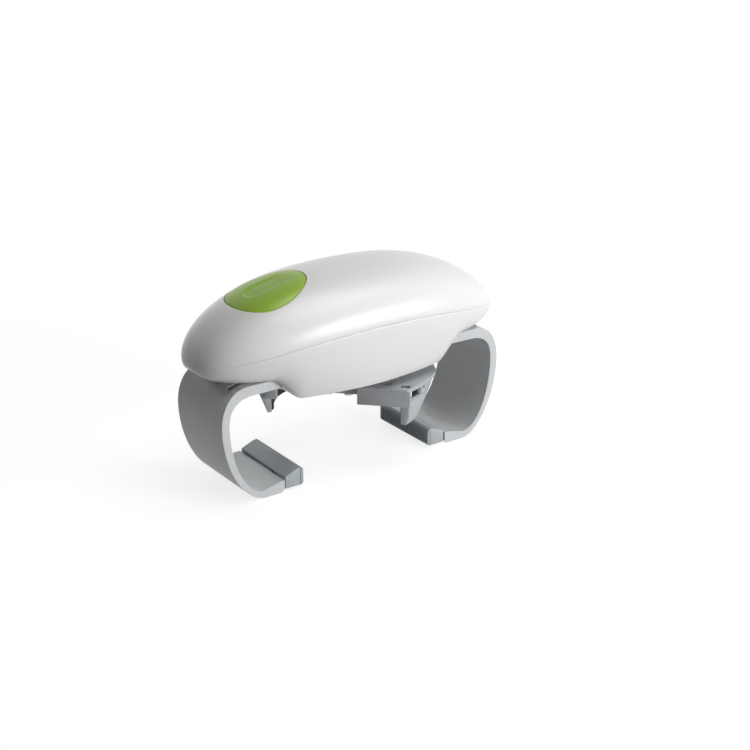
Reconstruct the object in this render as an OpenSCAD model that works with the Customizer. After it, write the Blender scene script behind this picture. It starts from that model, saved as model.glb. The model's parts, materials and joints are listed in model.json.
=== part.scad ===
// Electric jar opener: a moulded body on two sliding jar arms, with a geared rotor under it
// whose two jaws grip the lid. X runs along the body, Z is up, and the arms stand on z = 0.

/* [Body] */
// Length of the body over its two round tips
body_length = 206; // [190:1:236]
// Width of the body at the seam
body_width = 83; // [80:1:98]
// Height of the top of the dome above the feet
body_top = 121; // [118:1:132]
// Height of the seam at the two tips
seam_tip_height = 80; // [78:0.5:84]
// How much higher the seam runs at mid length
seam_rise = 13.5; // [6:0.5:15]
// Wall thickness of both casing shells
wall = 2.2; // [1.8:0.1:2.6]
// Height of the flat underside of the skirt
skirt_floor = 57.5; // [57:0.1:58]
// Half length of the flat underside of the skirt
skirt_half = 48; // [47:0.5:52]
// Length of the curve from the skirt up to the shallow ends
skirt_sweep = 18; // [14:1:20]
// Depth of the shallow ends below the seam tips
end_depth = 9.2; // [8.8:0.1:9.2]

/* [Button] */
// Half length of the button outline
button_half_length = 23.4; // [18:0.2:24]
// Half width of the button outline
button_half_width = 22.2; // [16:0.2:23]
// Place of the button's middle along the body
button_x = -51.4; // [-54:0.2:-48]
// Gap around the button
button_gap = 0.4; // [0.3:0.05:0.6]
// Height of the button above the dome
button_raise = 0.8; // [0.4:0.1:1.4]
// Travel of the button
button_travel = 1.5; // [1:0.1:1.6]

/* [Arms] */
// Width of both arms
arm_width = 50; // [44:1:50.4]
// Half distance over the outside of both arms
arm_reach = 97.5; // [90:0.5:112]
// Wall thickness of the arms
arm_wall = 4.8; // [3.8:0.1:5.6]
// Thickness of the arm's top leg, which slides in the skirt
leg_thickness = 5.8; // [5:0.1:5.8]
// Height of the underside of the top leg
leg_base = 64.5; // [64.4:0.1:64.8]
// Radius of the jar that the pads hold as shown
jar_radius = 44.5; // [40:0.5:48]
// Length that a rail keeps inside the body past the skirt's mouth
rail_inner_end = 28; // [26:1:32]
// Height of the pads
pad_height = 11; // [9:0.5:12]

/* [Lid jaws] */
// Radius of the lid that the jaws hold as shown
lid_radius = 41.5; // [38:0.5:43]
// Angle of the right jaw around the rotor's axis
rotor_angle = -45; // [-90:1:90]
// Half width of the jaw heads
jaw_half_width = 23; // [21.5:0.5:25]
// Lowest point of the jaw fingers
finger_foot = 30; // [24:1:34]
// Underside of the jaw heads
jaw_base = 42; // [41.8:0.1:42.2]
// Top of the jaw heads
jaw_top = 52.8; // [52:0.1:52.9]
// Wall thickness of the jaws
jaw_wall = 2; // [1.6:0.1:2.4]

/* [Drive] */
// Radius of the drive shaft
shaft_radius = 4; // [3:0.1:4.4]
// Running clearance of shafts in their bores
running_fit = 0.06; // [0.03:0.01:0.09]
// Backlash of the gears, per flank
backlash = 0.12; // [0.1:0.01:0.16]
// Tooth module of the two rack drives
rack_module = 1; // [1:0.1:1]
// Teeth of the arm pinion
arm_pinion_teeth = 18; // [18:2:18]
// Teeth of the jaw pinion
jaw_pinion_teeth = 20; // [20:2:20]
// Tooth module of the planetary stage
planet_module = 0.7; // [0.65:0.05:0.7]
// Radius of the motor can
motor_radius = 10.5; // [9:0.1:10.8]
// Length of the motor can
motor_length = 21; // [19:0.5:21]
// Radius of one battery cell
cell_radius = 7.25; // [5.25:0.05:7.25]
// Length of one battery cell
cell_length = 50.5; // [44.5:0.1:50.5]

/* [Hidden] */

// Colours
shell_white = "#f1f0ef";
button_green = "#8fb63c";
arm_grey = "#c9cacb";
jaw_grey = "#a9acae";
pad_grey = "#8d9699";
inner_grey = "#6d7072";
steel = "#b8bcc0";
brass_yellow = "#c9a957";

half_length = body_length / 2;
half_width = body_width / 2;
gap = 0.3;               // gap between parts that slide or turn past each other
seat = 0.02;             // gap of parts that are pressed or dropped in
plan_power = 2.4;        // roundness of the body seen from above
dome_power = 2.2;        // roundness of the dome's cross-sections
stations = 44;           // steps along the body's outer surface
dome_steps = 20;         // steps round one cross-section of the dome
side_steps = 7;          // steps down one side of the lower shell
inner_stations = 26;
inner_dome_steps = 12;
inner_side_steps = 4;

// ---- shape of the body ----

function smooth(t) = let (s = min(max(t, 0), 1)) s * s * (3 - 2 * s);
function signed_power(v, p) = sign(v) * pow(abs(v), p);
function share(x, inset) = min(abs(x) / (half_length - inset), 1);

// Half width at the seam, for the surface lying inset inside the outer one
function plan_half(x, inset) =
    (half_width - inset) * pow(1 - pow(share(x, inset), plan_power), 1 / plan_power);

function seam_z(x) = seam_tip_height + seam_rise * (1 - pow(x / half_length, 2));

// Ridge of the dome: the end with the button is the fuller one
function ridge_z(x, inset) =
    let (p = x < 0 ? 2.45 : 2.72, q = x < 0 ? 1.75 : 1.44)
    seam_tip_height + (body_top - seam_tip_height - inset) * pow(1 - pow(share(x, inset), p), 1 / q);

function dome_height(x, inset) = max(ridge_z(x, inset) - seam_z(x), 0.05);

function dome_z(x, y, inset) =
    let (b = plan_half(x, inset), v = min(abs(y) / b, 1))
    seam_z(x) + dome_height(x, inset) * pow(1 - pow(v, dome_power), 1 / dome_power);

// 0 over the skirt, 1 over the shallow ends
function end_share(x, inset) = smooth((abs(x) + inset - skirt_half) / skirt_sweep);

function end_z(x, inset) =
    seam_tip_height - (end_depth - inset) * sqrt(1 - pow(share(x, inset), 10));

function underside_z(x, inset) =
    let (e = end_share(x, inset))
    (skirt_floor + inset) * (1 - e) + end_z(x, inset) * e;

function floor_half(x, inset) =
    max(plan_half(x, 0) * (0.88 - 0.33 * pow(share(x, 0), 1.5)) - inset, 1);

// Half cross-section of the lower shell, from the seam (s = 0) to its flat underside (s = 1)
function side_point(x, s, inset) =
    let (b = plan_half(x, inset), c = min(floor_half(x, inset), b * 0.96), z0 = seam_z(x),
        z1 = min(underside_z(x, inset), z0 - 0.05), a = 60 + 30 * end_share(x, inset), t = a * s)
    [c + (b - c) * (cos(t) - cos(a)) / (1 - cos(a)), z0 - (z0 - z1) * sin(t) / sin(a)];

function station_x(i, n, inset) = -(half_length - inset) * cos(180 * i / n);

// Solid between rings of points in planes of constant x, closed by a point at each tip
module loft(rings, tip_a, tip_b) {
    n = len(rings[0]);
    m = len(rings);
    last = n * m + 1;
    points = concat([tip_a], [for (r = rings) for (p = r) p], [tip_b]);
    sides = [for (i = [0:m - 2]) for (j = [0:n - 1])
        let (a = 1 + i * n + j, b = 1 + i * n + (j + 1) % n) each [[a, a + n, b + n], [a, b + n, b]]];
    cap_a = [for (j = [0:n - 1]) [0, 1 + j, 1 + (j + 1) % n]];
    cap_b = [for (j = [0:n - 1]) [last, last - n + (j + 1) % n, last - n + j]];
    polyhedron(points, concat(sides, cap_a, cap_b));
}

// The dome down to the seam, or by drop below it
module dome_solid(inset, drop, n, k) {
    reach = half_length - inset;
    rings = [for (i = [1:n - 1]) let (x = station_x(i, n, inset), b = plan_half(x, inset),
        h = dome_height(x, inset), z = seam_z(x))
        concat([for (j = [0:k]) let (t = 180 * j / k)
            [x, b * signed_power(cos(t), 2 / dome_power), z + h * pow(abs(sin(t)), 2 / dome_power)]],
            drop > 0 ? [[x, -b, z - drop], [x, b, z - drop]] : [])];
    loft(rings, [-reach, 0, seam_z(reach) - drop / 2], [reach, 0, seam_z(reach) - drop / 2]);
}

// The lower shell's outer form up to the seam, or by lift above it
module hull_solid(inset, lift, n, k) {
    reach = half_length - inset;
    rings = [for (i = [1:n - 1]) let (x = station_x(i, n, inset), b = plan_half(x, inset), z = seam_z(x))
        concat([for (j = [0:k]) let (p = side_point(x, j / k, inset)) [x, -p[0], p[1]]],
            [for (j = [k:-1:0]) let (p = side_point(x, j / k, inset)) [x, p[0], p[1]]],
            lift > 0 ? [[x, b, z + lift], [x, -b, z + lift]] : [])];
    loft(rings, [-reach, 0, seam_z(reach) + lift / 2], [reach, 0, seam_z(reach) + lift / 2]);
}

module at_four(x, y) {
    for (sx = [-1, 1]) for (sy = [-1, 1]) translate([sx * x, sy * y, 0]) children();
}

module tube(r_out, r_in, z0, z1, fn = 48) {
    difference() {
        translate([0, 0, z0]) cylinder(r = r_out, h = z1 - z0, $fn = fn);
        translate([0, 0, z0 - 1]) cylinder(r = r_in, h = z1 - z0 + 2, $fn = fn);
    }
}

module rod(r, z0, z1, fn = 32) {
    translate([0, 0, z0]) cylinder(r = r, h = z1 - z0, $fn = fn);
}

module block(x0, x1, y0, y1, z0, z1) {
    translate([x0, y0, z0]) cube([x1 - x0, y1 - y0, z1 - z0]);
}

// ---- levels inside the body ----

floor_top = skirt_floor + wall;
leg_top = leg_base + leg_thickness;
mouth_base = leg_base - gap;
mouth_top = leg_top + gap;
shelf_base = seam_tip_height - end_depth;
shelf_top = shelf_base + wall;
plate_top = shelf_top + 2;             // top of the chassis plate
carrier_base = plate_top + 2.4;
carrier_top = carrier_base + 2;
planet_base = carrier_top + 0.5;
planet_top = planet_base + 5.4;
ring_top = planet_top + 0.7;
tray_top = ring_top + 1.4;
sun_wheel_base = tray_top + 0.8;
sun_wheel_top = sun_wheel_base + 3;
motor_top = plate_top + motor_length;
bracket_top = motor_top + 1.6;
wheel_a_base = bracket_top + 0.6;
wheel_a_top = wheel_a_base + 2;
wheel_b_base = wheel_a_top + 0.8;
wheel_b_top = wheel_b_base + 2;
cover_base = wheel_b_top + 1;
cover_top = cover_base + 1.6;

// ---- gear train ----

sun_teeth = 12;
planet_teeth = 24;
ring_teeth = sun_teeth + 2 * planet_teeth;
sun_wheel_teeth = 42;
pinion_b_teeth = 12;
wheel_b_teeth = 36;
pinion_a_teeth = 12;
wheel_a_teeth = 40;
motor_pinion_teeth = 10;
module_b = 0.8;          // pinion b with the sun wheel
module_a = 0.6;          // pinion a with wheel b
module_m = 0.5;          // motor pinion with wheel a
planet_orbit = planet_module * (sun_teeth + planet_teeth) / 2;
axis_b = -module_b * (sun_wheel_teeth + pinion_b_teeth) / 2;
axis_a = axis_b - module_a * (wheel_b_teeth + pinion_a_teeth) / 2;
axis_m = axis_a - module_m * (wheel_a_teeth + motor_pinion_teeth) / 2;
axle_radius = 1.2;
planet_pin_radius = 1.5;
ring_outer = planet_module * ring_teeth / 2 + 4.5;
pressure_angle = 20;

function involute(a) = tan(a) * 180 / PI - a;
// Half angle of a tooth at radius r
function tooth_half_angle(m, z, r, play) =
    let (rp = m * z / 2, a = acos(min(rp * cos(pressure_angle) / r, 1)))
    90 / z + involute(pressure_angle) - involute(a) - play / rp * 180 / PI;

// Outline of a spur gear with one tooth centred on +X
function gear_outline(m, z, tip, root, play) =
    let (rp = m * z / 2, base = rp * cos(pressure_angle), r0 = rp - root * m, r3 = rp + tip * m,
        r1 = max(base, r0 + 0.05 * m), r2 = (r1 + r3) / 2)
    [for (i = [0:z - 1]) each
        [for (side = [-1, 1]) each
            [for (r = side < 0 ? [r0, r1, r2, r3] : [r3, r2, r1, r0])
                let (t = 360 * i / z + side * tooth_half_angle(m, z, max(r, base), play))
                [r * cos(t), r * sin(t)]]]];

module gear(m, z, bore, z0, z1, turn = 0) {
    rotate([0, 0, turn]) translate([0, 0, z0]) linear_extrude(z1 - z0) difference() {
        polygon(gear_outline(m, z, 0.9, 1.2, backlash));
        if (bore > 0) circle(r = bore, $fn = 32);
    }
}

// Rack teeth pointing to +Y from the line y = 0, pitch line at y = 1.25 modules, centred on x = 0
module rack(m, x0, x1, depth, z0, z1, phase) {
    pitch = PI * m;
    i0 = ceil((x0 - phase * pitch) / pitch + 0.5);
    i1 = floor((x1 - phase * pitch) / pitch - 0.5);
    root_half = PI * m / 4 - backlash + 1.25 * m * tan(pressure_angle);
    tip_half = PI * m / 4 - backlash - 0.9 * m * tan(pressure_angle);
    teeth = [for (i = [i0:i1]) let (c = (i + phase) * pitch) each
        [[c - root_half, 0], [c - tip_half, 2.15 * m], [c + tip_half, 2.15 * m], [c + root_half, 0]]];
    translate([0, 0, z0]) linear_extrude(z1 - z0)
        polygon(concat([[x0, -depth], [x0, 0]], teeth, [[x1, 0], [x1, -depth]]));
}

arm_pitch_radius = rack_module * arm_pinion_teeth / 2;
jaw_pitch_radius = rack_module * jaw_pinion_teeth / 2;

// ---- casing ----

screw_x = 40;
screw_y = 28.8;
screw_radius = 1.5;
screw_head_radius = 2.8;
pillar_radius = 3.4;
pillar_top = 88;
head_top = skirt_floor + 5.4;
boss_top = 104;
rail_edge = arm_width / 2;
mouth_half = rail_edge + gap;
rotor_bush_radius = 11;
door_x0 = skirt_half + skirt_sweep + 1;
door_x1 = 94;
door_half = 15.4;
door_gap = 0.3;
shelf_half = 26;
shelf_left = 44;
shelf_right = 34;

module shell_mouths() {
    for (s = [-1, 1]) {
        x0 = s > 0 ? skirt_half - 8 : -skirt_half - skirt_sweep - 6;
        x1 = s > 0 ? skirt_half + skirt_sweep + 6 : -skirt_half + 8;
        block(x0, x1, -mouth_half, mouth_half, mouth_base, mouth_top);
    }
}

module door_prism(grow) {
    block(door_x0 - grow, door_x1 + grow, -door_half - grow, door_half + grow,
        skirt_floor, seam_tip_height - 1.5);
}

module lower_casing() {
    color(shell_white) difference() {
        union() {
            difference() {
                hull_solid(0, 0, stations, side_steps);
                hull_solid(wall, 5, inner_stations, inner_side_steps);
                shell_mouths();
            }
            // shelves that carry the chassis plate and roof the arm mouths
            block(-skirt_half - skirt_sweep - 2, -shelf_left, -shelf_half, shelf_half, shelf_base, shelf_top);
            block(shelf_right, skirt_half + skirt_sweep + 2, -shelf_half, shelf_half, shelf_base, shelf_top);
            // pillars for the casing screws
            at_four(screw_x, screw_y) {
                rod(pillar_radius, skirt_floor + 0.5, pillar_top);
                rod(screw_head_radius + 1.4, skirt_floor + 0.5, head_top + 1);
            }
            // ribs that the arms slide on and between
            for (sx = [-1, 1]) for (sy = [-1, 1]) {
                x0 = sx > 0 ? 16 : -45;
                x1 = sx > 0 ? 45 : -16;
                for (y = [arm_pitch_radius + 3.5, rail_edge - 3])
                    block(x0, x1, sy * y - 0.8, sy * y + 0.8, skirt_floor + 1, mouth_base);
            }
            // seats for the ends of the battery cells
            block(cell_x0 - 2.6, cell_x0 - 1.1, -15, 15, shelf_top - 0.5, shelf_top + 9);
            block(cell_x1 + 1.1, cell_x1 + 2.6, -10, 10, shelf_top - 1.5, shelf_top + 9);
            for (x = [cell_x0 + 6, cell_x0 + 20]) cell_cradle(x);
            // posts for the switch board
            for (y = [-9, 9]) translate([board_x, y, 0]) rod(2.4, shelf_top - 1, board_base);
        }
        at_four(screw_x, screw_y) {
            rod(screw_radius + 0.1, skirt_floor - 1, pillar_top + 1);
            rod(screw_head_radius + 0.2, skirt_floor - 1, head_top);
        }
        at_chassis_screws() rod(1.2 + seat, shelf_top - 1.8, shelf_top + 1);
        rod(rotor_bush_radius + seat, skirt_floor - 1, floor_top + 1, 64);
        door_prism(door_gap);
    }
}

function button_outline(grow) =
    [for (i = [0:47]) let (t = 360 * i / 48, c = cos(t), s = sin(t))
        [button_x + (button_half_length + grow) * c,
            (button_half_width + grow) * s * (1 - 0.15 * c)]];

collar_depth = 9;        // how far the button's well reaches down inside the dome
button_tilt = 14;        // slope of the dome under the button, in degrees

// Everything above a plane that lies depth under the button, parallel to the dome there
module above_button_plane(depth) {
    translate([button_x, 0, dome_z(button_x, 0, 0) - depth]) rotate([0, -button_tilt, 0])
        translate([-60, -60, 0]) cube([120, 120, 80]);
}

module button_prism(grow) {
    translate([0, 0, 90]) linear_extrude(50) polygon(button_outline(grow));
}

module upper_casing() {
    color(shell_white) difference() {
        union() {
            difference() {
                dome_solid(0, 0, stations, dome_steps);
                dome_solid(wall, 5, inner_stations, inner_dome_steps);
            }
            intersection() {
                dome_solid(wall / 2, 0, inner_stations, inner_dome_steps);
                union() {
                    at_four(screw_x, screw_y) tube(pillar_radius, screw_radius + 0.05, pillar_top, 130, 32);
                    intersection() {
                        button_prism(button_gap + 1.6);
                        above_button_plane(collar_depth);
                    }
                }
            }
        }
        button_prism(button_gap);
        at_four(screw_x, screw_y) rod(screw_radius + 0.05, pillar_top - 2, boss_top);
    }
}

module casing_screws() {
    color(steel) at_four(screw_x, screw_y) {
        rod(screw_radius, head_top - 0.1, boss_top - 4);
        rod(screw_head_radius, head_top - 2, head_top);
    }
}

module battery_door() {
    color(shell_white) difference() {
        union() {
            intersection() {
                difference() {
                    hull_solid(0, 0, stations, side_steps);
                    hull_solid(wall, 5, inner_stations, inner_side_steps);
                }
                door_prism(0);
            }
            cell_cradle(door_x0 + 10);
        }
        // notch to push the door open
        translate([door_x1 - 7, 0, shelf_base - 1]) cylinder(r = 4, h = 1.8, $fn = 32);
    }
}

// ---- batteries, switch and wiring ----

cell_x0 = 42;
cell_x1 = cell_x0 + cell_length;
cell_z = shelf_top + 2.6 + cell_radius;

module along_x(x) {
    translate([x, 0, 0]) rotate([0, 90, 0]) children();
}

// Rib with two hollows that the cells lie in
module cell_cradle(x) {
    difference() {
        block(x, x + 1.6, -14, 14, shelf_top - 0.5, cell_z - 2);
        for (s = [-1, 1]) translate([0, s * (cell_radius + 0.2), cell_z])
            along_x(x - 1) cylinder(r = cell_radius + seat, h = 4, $fn = 48);
    }
}

module battery_cells() {
    color("#3f4448") for (s = [-1, 1]) translate([0, s * (cell_radius + 0.2), cell_z]) {
        along_x(cell_x0 + (s > 0 ? 0 : 1.2)) cylinder(r = cell_radius, h = cell_length - 1.2, $fn = 48);
        along_x(s > 0 ? cell_x1 - 1.3 : cell_x0) cylinder(r = 2.7, h = 1.3, $fn = 32);
    }
}

module battery_contacts() {
    color(steel) {
        block(cell_x1 + 0.3, cell_x1 + 1.1, -cell_radius - 6, cell_radius + 6, cell_z - 5, cell_z + 5);
        for (s = [-1, 1]) translate([0, s * (cell_radius + 0.2), cell_z])
            block(cell_x0 - 1.1, cell_x0 - 0.3, -5, 5, -5, 5);
    }
}

board_x = -70;
board_base = 88;
board_thickness = 1.6;
board_top = board_base + board_thickness;
switch_x = -62.7;
switch_height = 6.5;
switch_top = board_top + switch_height;
spring_x = button_x - button_half_length + 5.2;
spring_seat = board_top + 5;
stem_foot = switch_top + 3.2;
button_thickness = 2;

module switch_board() {
    color("#2f6b46") {
        difference() {
            block(-78, -59.5, -13, 13, board_base, board_top);
            for (y = [-9, 9]) translate([board_x, y, 0]) rod(1, board_base - 1, board_top + 1);
        }
    }
    color(inner_grey) translate([spring_x, 0, 0]) rod(3.2, board_top, spring_seat);
}

module micro_switch() {
    color("#26282a") {
        block(switch_x - 3.2, switch_x + 3.2, -6.4, 6.4, board_top, switch_top);
        translate([switch_x, 0, 0]) rod(1.2, switch_top, switch_top + 1.3);
    }
}

wire_radius = 0.6;
wire_side = 24;          // line of the two long wires beside the gears
contact_x = cell_x0 - 0.7;
contact_top = cell_z + 5;
motor_tab = 10.55;       // distance of the motor's tabs from its axis

function unit(v) = v / norm(v);

// Smooth curve through the given points
function curve(p, n) = let (m = len(p)) concat([for (i = [0:m - 2]) each
    let (a = p[max(i - 1, 0)], b = p[i], c = p[i + 1], d = p[min(i + 2, m - 1)])
    [for (k = [0:n - 1]) let (t = k / n)
        b + t / 2 * (c - a) + t * t / 2 * (2 * a - 5 * b + 4 * c - d)
            + t * t * t / 2 * (3 * b - a - 3 * c + d)]], [p[m - 1]]);

module wire(p) {
    c = curve(p, 5);
    last = len(c) - 1;
    rings = [for (i = [0:last])
        let (t = unit(c[min(i + 1, last)] - c[max(i - 1, 0)]), u = unit(cross(t, [1, 1, 1])), v = cross(t, u))
        [for (j = [0:7]) c[i] + wire_radius * (cos(45 * j) * u + sin(45 * j) * v)]];
    loft(rings, c[0], c[last]);
}

// Point beside the motor can, at distance r from its axis
function at_motor(angle, r, z) = [axis_m + r * cos(angle), r * sin(angle), z];

module supply_wires() {
    color("#a8322c") {
        wire([[contact_x, 9.5, contact_top + 0.15], [contact_x - 1.2, 9.8, contact_top + 5], [34, 17, 95],
            [24, wire_side, 95], [-30, wire_side, 95], [-50, wire_side - 2, 95], [-63, 14, 94],
            [-68.2, 10, 92.5], [-68.5, 10, board_top + 0.1]]);
        wire([[-61.5, 10.5, board_top + 0.1], [-61.4, 10.8, board_top + 2.4], [-58.5, 15.4, 88.5],
            [-60, 12.5, 84], at_motor(155, 14, 82), at_motor(155, motor_tab, 82)]);
    }
}

module return_wire() {
    color("#232527")
        wire([[contact_x, -9.5, contact_top + 0.15], [contact_x - 1.2, -9.8, contact_top + 5], [34, -17, 95],
            [24, -wire_side, 95], [-30, -wire_side, 95], [-50, 2 - wire_side, 91], [-60, -14.5, 84],
            at_motor(205, 14, 82), at_motor(205, motor_tab, 82)]);
}

function dimple_depth(x, y) =
    let (d = norm([(x - button_x - 2) / 1.5, y]))
    0.9 * (1 - smooth((d - 4) / 3));

// The button's pressed face: the dome, raised, with a hollow
module button_face() {
    n = 20;
    ring = function (f) [for (i = [0:n - 1]) let (t = 360 * i / n,
        x = button_x + button_half_length * f * cos(t),
        y = button_half_width * f * sin(t) * (1 - 0.15 * cos(t)))
        [x, y, dome_z(x, y, 0) + button_raise * (1 - pow(f, 6)) - dimple_depth(x, y)]];
    fs = [0.25, 0.5, 0.75, 0.9, 1];
    m = len(fs);
    top = [for (f = fs) each ring(f)];
    low = [for (p = ring(1)) [p[0], p[1], 90]];
    points = concat([[button_x, 0, dome_z(button_x, 0, 0) + button_raise - dimple_depth(button_x, 0)]],
        top, low, [[button_x, 0, 90]]);
    end = len(points) - 1;
    faces = concat(
        [for (j = [0:n - 1]) [0, 1 + (j + 1) % n, 1 + j]],
        [for (i = [0:m - 1]) for (j = [0:n - 1])
            let (a = 1 + i * n + j, b = 1 + i * n + (j + 1) % n) each [[a, b, b + n], [a, b + n, a + n]]],
        [for (j = [0:n - 1]) [end, end - n + j, end - n + (j + 1) % n]]);
    polyhedron(points, faces);
}

module button() {
    color(button_green) {
        difference() {
            intersection() {
                button_face();
                above_button_plane(collar_depth + 1.2);
            }
            intersection() {
                button_prism(-1.8);
                dome_solid(button_thickness, 0, inner_stations, inner_dome_steps);
            }
        }
        // flange that stops the button under its well
        intersection() {
            difference() {
                button_prism(button_gap + 1.2);
                button_prism(-1.4);
                above_button_plane(collar_depth + gap);
            }
            above_button_plane(collar_depth + gap + 1.4);
        }
        // stem over the switch and guide pin of the spring
        intersection() {
            dome_solid(button_thickness / 2, 0, inner_stations, inner_dome_steps);
            union() {
                translate([switch_x, 0, 0]) rod(2.2, stem_foot, 130);
                translate([spring_x, 0, 0]) rod(1.2, spring_seat + 8, 130);
            }
        }
    }
}

spring_radius = 2.5;
spring_wire = 0.35;
spring_turns = 6;
spring_top = dome_z(spring_x, 0, button_thickness) - 0.3;

// Compression spring as one tube swept along its helix
module button_spring() {
    steps = 12;
    sides = 6;
    total = steps * spring_turns;
    rise = spring_top - spring_seat - 2 * spring_wire;
    rings = [for (i = [0:total]) let (t = 360 * i / steps, z = spring_seat + spring_wire + rise * i / total)
        [for (j = [0:sides - 1]) let (u = 360 * j / sides, r = spring_radius + spring_wire * cos(u))
            [spring_x + r * cos(t), r * sin(t), z + spring_wire * sin(u)]]];
    centre = function (t, z) [spring_x + spring_radius * cos(t), spring_radius * sin(t), z];
    color(steel) loft(rings, centre(0, spring_seat + spring_wire), centre(0, spring_top - spring_wire));
}

// ---- chassis and gearbox ----

column_x = [-30, 12];
column_y = [20, 28.5];
column_radius = 2.8;
bush_radius = shaft_radius + 2.2;
bracket_y = 14;

module at_columns() {
    for (i = [0, 1]) for (s = [-1, 1]) translate([column_x[i], s * column_y[i], 0]) children();
}

module chassis_plate() {
    color(inner_grey) difference() {
        union() {
            block(-62, 38, -25, 25, shelf_top, plate_top);
            block(-20, 24, -33, 33, shelf_top, plate_top);
            at_columns() rod(column_radius, shelf_top, cover_base);
        }
        rod(bush_radius + seat, shelf_top - 1, plate_top + 1, 48);
        at_columns() rod(1, cover_base - 8, cover_base + 1);
        at_chassis_screws() rod(1.2 + seat, shelf_top - 1, plate_top + 1);
    }
}

module at_chassis_screws() {
    for (x = [-52, 36]) for (y = [-20, 20]) translate([x, y, 0]) children();
}

module chassis_screws() {
    color(steel) at_chassis_screws() {
        rod(1.2, shelf_top - 1.7, plate_top + 0.1);
        rod(2.2, plate_top, plate_top + 1.4);
    }
}

module shaft_bush() {
    color(brass_yellow) {
        tube(bush_radius, shaft_radius + running_fit, shelf_top, plate_top + 0.4, 48);
        tube(bush_radius + 1.4, shaft_radius + running_fit, plate_top, plate_top + 1.4, 48);
    }
}

module rotor_bush() {
    color(brass_yellow) tube(rotor_bush_radius, hub_radius + running_fit, skirt_floor - 0.1, floor_top + 0.1, 64);
}

module ring_gear() {
    color("#d8d8d2") translate([0, 0, plate_top]) difference() {
        cylinder(r = ring_outer, h = ring_top - plate_top, $fn = 96);
        translate([0, 0, -1]) cylinder(r = ring_outer - 2.6, h = planet_base - plate_top + 0.6, $fn = 96);
        rotate([0, 0, 180 / ring_teeth]) translate([0, 0, -1]) linear_extrude(ring_top - plate_top + 2)
            polygon(gear_outline(planet_module, ring_teeth, 1.2, 0.9, -backlash));
    }
}

module gear_tray() {
    color(inner_grey) difference() {
        translate([0, 0, ring_top]) cylinder(r = ring_outer, h = tray_top - ring_top, $fn = 96);
        rod(planet_module * sun_teeth / 2 + 2, ring_top - 1, tray_top + 1, 48);
        translate([axis_b, 0, 0]) rod(axle_radius + seat, ring_top - 1, tray_top + 1);
    }
}

module gearbox_cover() {
    color(inner_grey) difference() {
        translate([0, 0, cover_base]) linear_extrude(cover_top - cover_base) polygon([
            for (p = [[-50, -8], [-33, -23], [-24, -23], [8, -31.5], [16, -31.5], [16, 31.5], [8, 31.5],
                [-24, 23], [-33, 23], [-50, 8]]) p]);
        for (x = [0, axis_b, axis_a]) translate([x, 0, 0]) rod(axle_radius + seat, cover_base - 1, cover_top + 1);
        translate([axis_m, 0, 0]) rod(3.4, cover_base - 1, cover_top + 1);
        at_columns() rod(1.2, cover_base - 1, cover_top + 1);
    }
}

module gearbox_screws() {
    color(steel) at_columns() {
        rod(0.95, cover_base - 5, cover_top + 0.1);
        rod(2, cover_top, cover_top + 1.3);
    }
}

module gear_axles() {
    color(steel) {
        rod(axle_radius, planet_base + 0.2, cover_top);
        translate([axis_b, 0, 0]) rod(axle_radius, ring_top, cover_top);
        translate([axis_a, 0, 0]) rod(axle_radius, motor_top, cover_top);
    }
}

module motor() {
    color("#9ca0a3") translate([axis_m, 0, 0]) {
        rod(motor_radius, plate_top, motor_top, 64);
        tube(3, 1.1, motor_top - 0.5, bracket_top + 0.2, 32);
    }
}

module motor_bracket() {
    color(steel) difference() {
        union() {
            block(axis_m - 7, axis_a + 3.5, -bracket_y - 1.5, bracket_y + 1.5, motor_top, bracket_top);
            for (s = [-1, 1])
                block(axis_m - 4, axis_m + 4, s * bracket_y - 1.5, s * bracket_y + 1.5, plate_top, bracket_top);
        }
        translate([axis_m, 0, 0]) rod(3 + seat, motor_top - 1, bracket_top + 1);
        translate([axis_a, 0, 0]) rod(axle_radius + seat, motor_top - 1, bracket_top + 1);
    }
}

// ---- rotating train ----

shaft_foot = jaw_base + 4.2;

module drive_shaft() {
    color(steel) difference() {
        rod(shaft_radius, shaft_foot, carrier_base + 0.5, 48);
        rod(1.2, shaft_foot - 1, shaft_foot + 7);
    }
}

module planet_carrier() {
    color("#d8d8d2") difference() {
        rod(planet_orbit + 4, carrier_base, carrier_top, 64);
        rod(shaft_radius + seat, carrier_base - 1, carrier_base + 0.5 + seat, 48);
        for (i = [0:2]) rotate([0, 0, 120 * i]) translate([planet_orbit, 0, 0])
            rod(planet_pin_radius + seat, carrier_base - 1, carrier_top + 1);
    }
}

module planet_pins() {
    color(steel) for (i = [0:2]) rotate([0, 0, 120 * i]) translate([planet_orbit, 0, 0])
        rod(planet_pin_radius, carrier_base, planet_top + 0.3);
}

module planet_gear(i) {
    color("#e3e1d8") rotate([0, 0, 120 * i]) translate([planet_orbit, 0, 0])
        gear(planet_module, planet_teeth, planet_pin_radius + running_fit, planet_base, planet_top,
            180 + 180 / planet_teeth);
}

module planet_gear_1() { planet_gear(0); }
module planet_gear_2() { planet_gear(1); }
module planet_gear_3() { planet_gear(2); }

module sun_gear() {
    color("#e3e1d8") {
        gear(planet_module, sun_teeth, axle_radius + running_fit, planet_base, sun_wheel_base);
        gear(module_b, sun_wheel_teeth, axle_radius + running_fit, sun_wheel_base, sun_wheel_top);
        tube(3.4, axle_radius + running_fit, sun_wheel_top, cover_base - 0.4, 32);
    }
}

module compound_gear_b() {
    color("#e3e1d8") translate([axis_b, 0, 0]) {
        gear(module_b, pinion_b_teeth, axle_radius + running_fit, tray_top + 0.3, sun_wheel_top + 0.6,
            180 / pinion_b_teeth);
        tube(3.2, axle_radius + running_fit, sun_wheel_top + 0.6, wheel_b_base, 32);
        gear(module_a, wheel_b_teeth, axle_radius + running_fit, wheel_b_base, wheel_b_top);
    }
}

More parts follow.
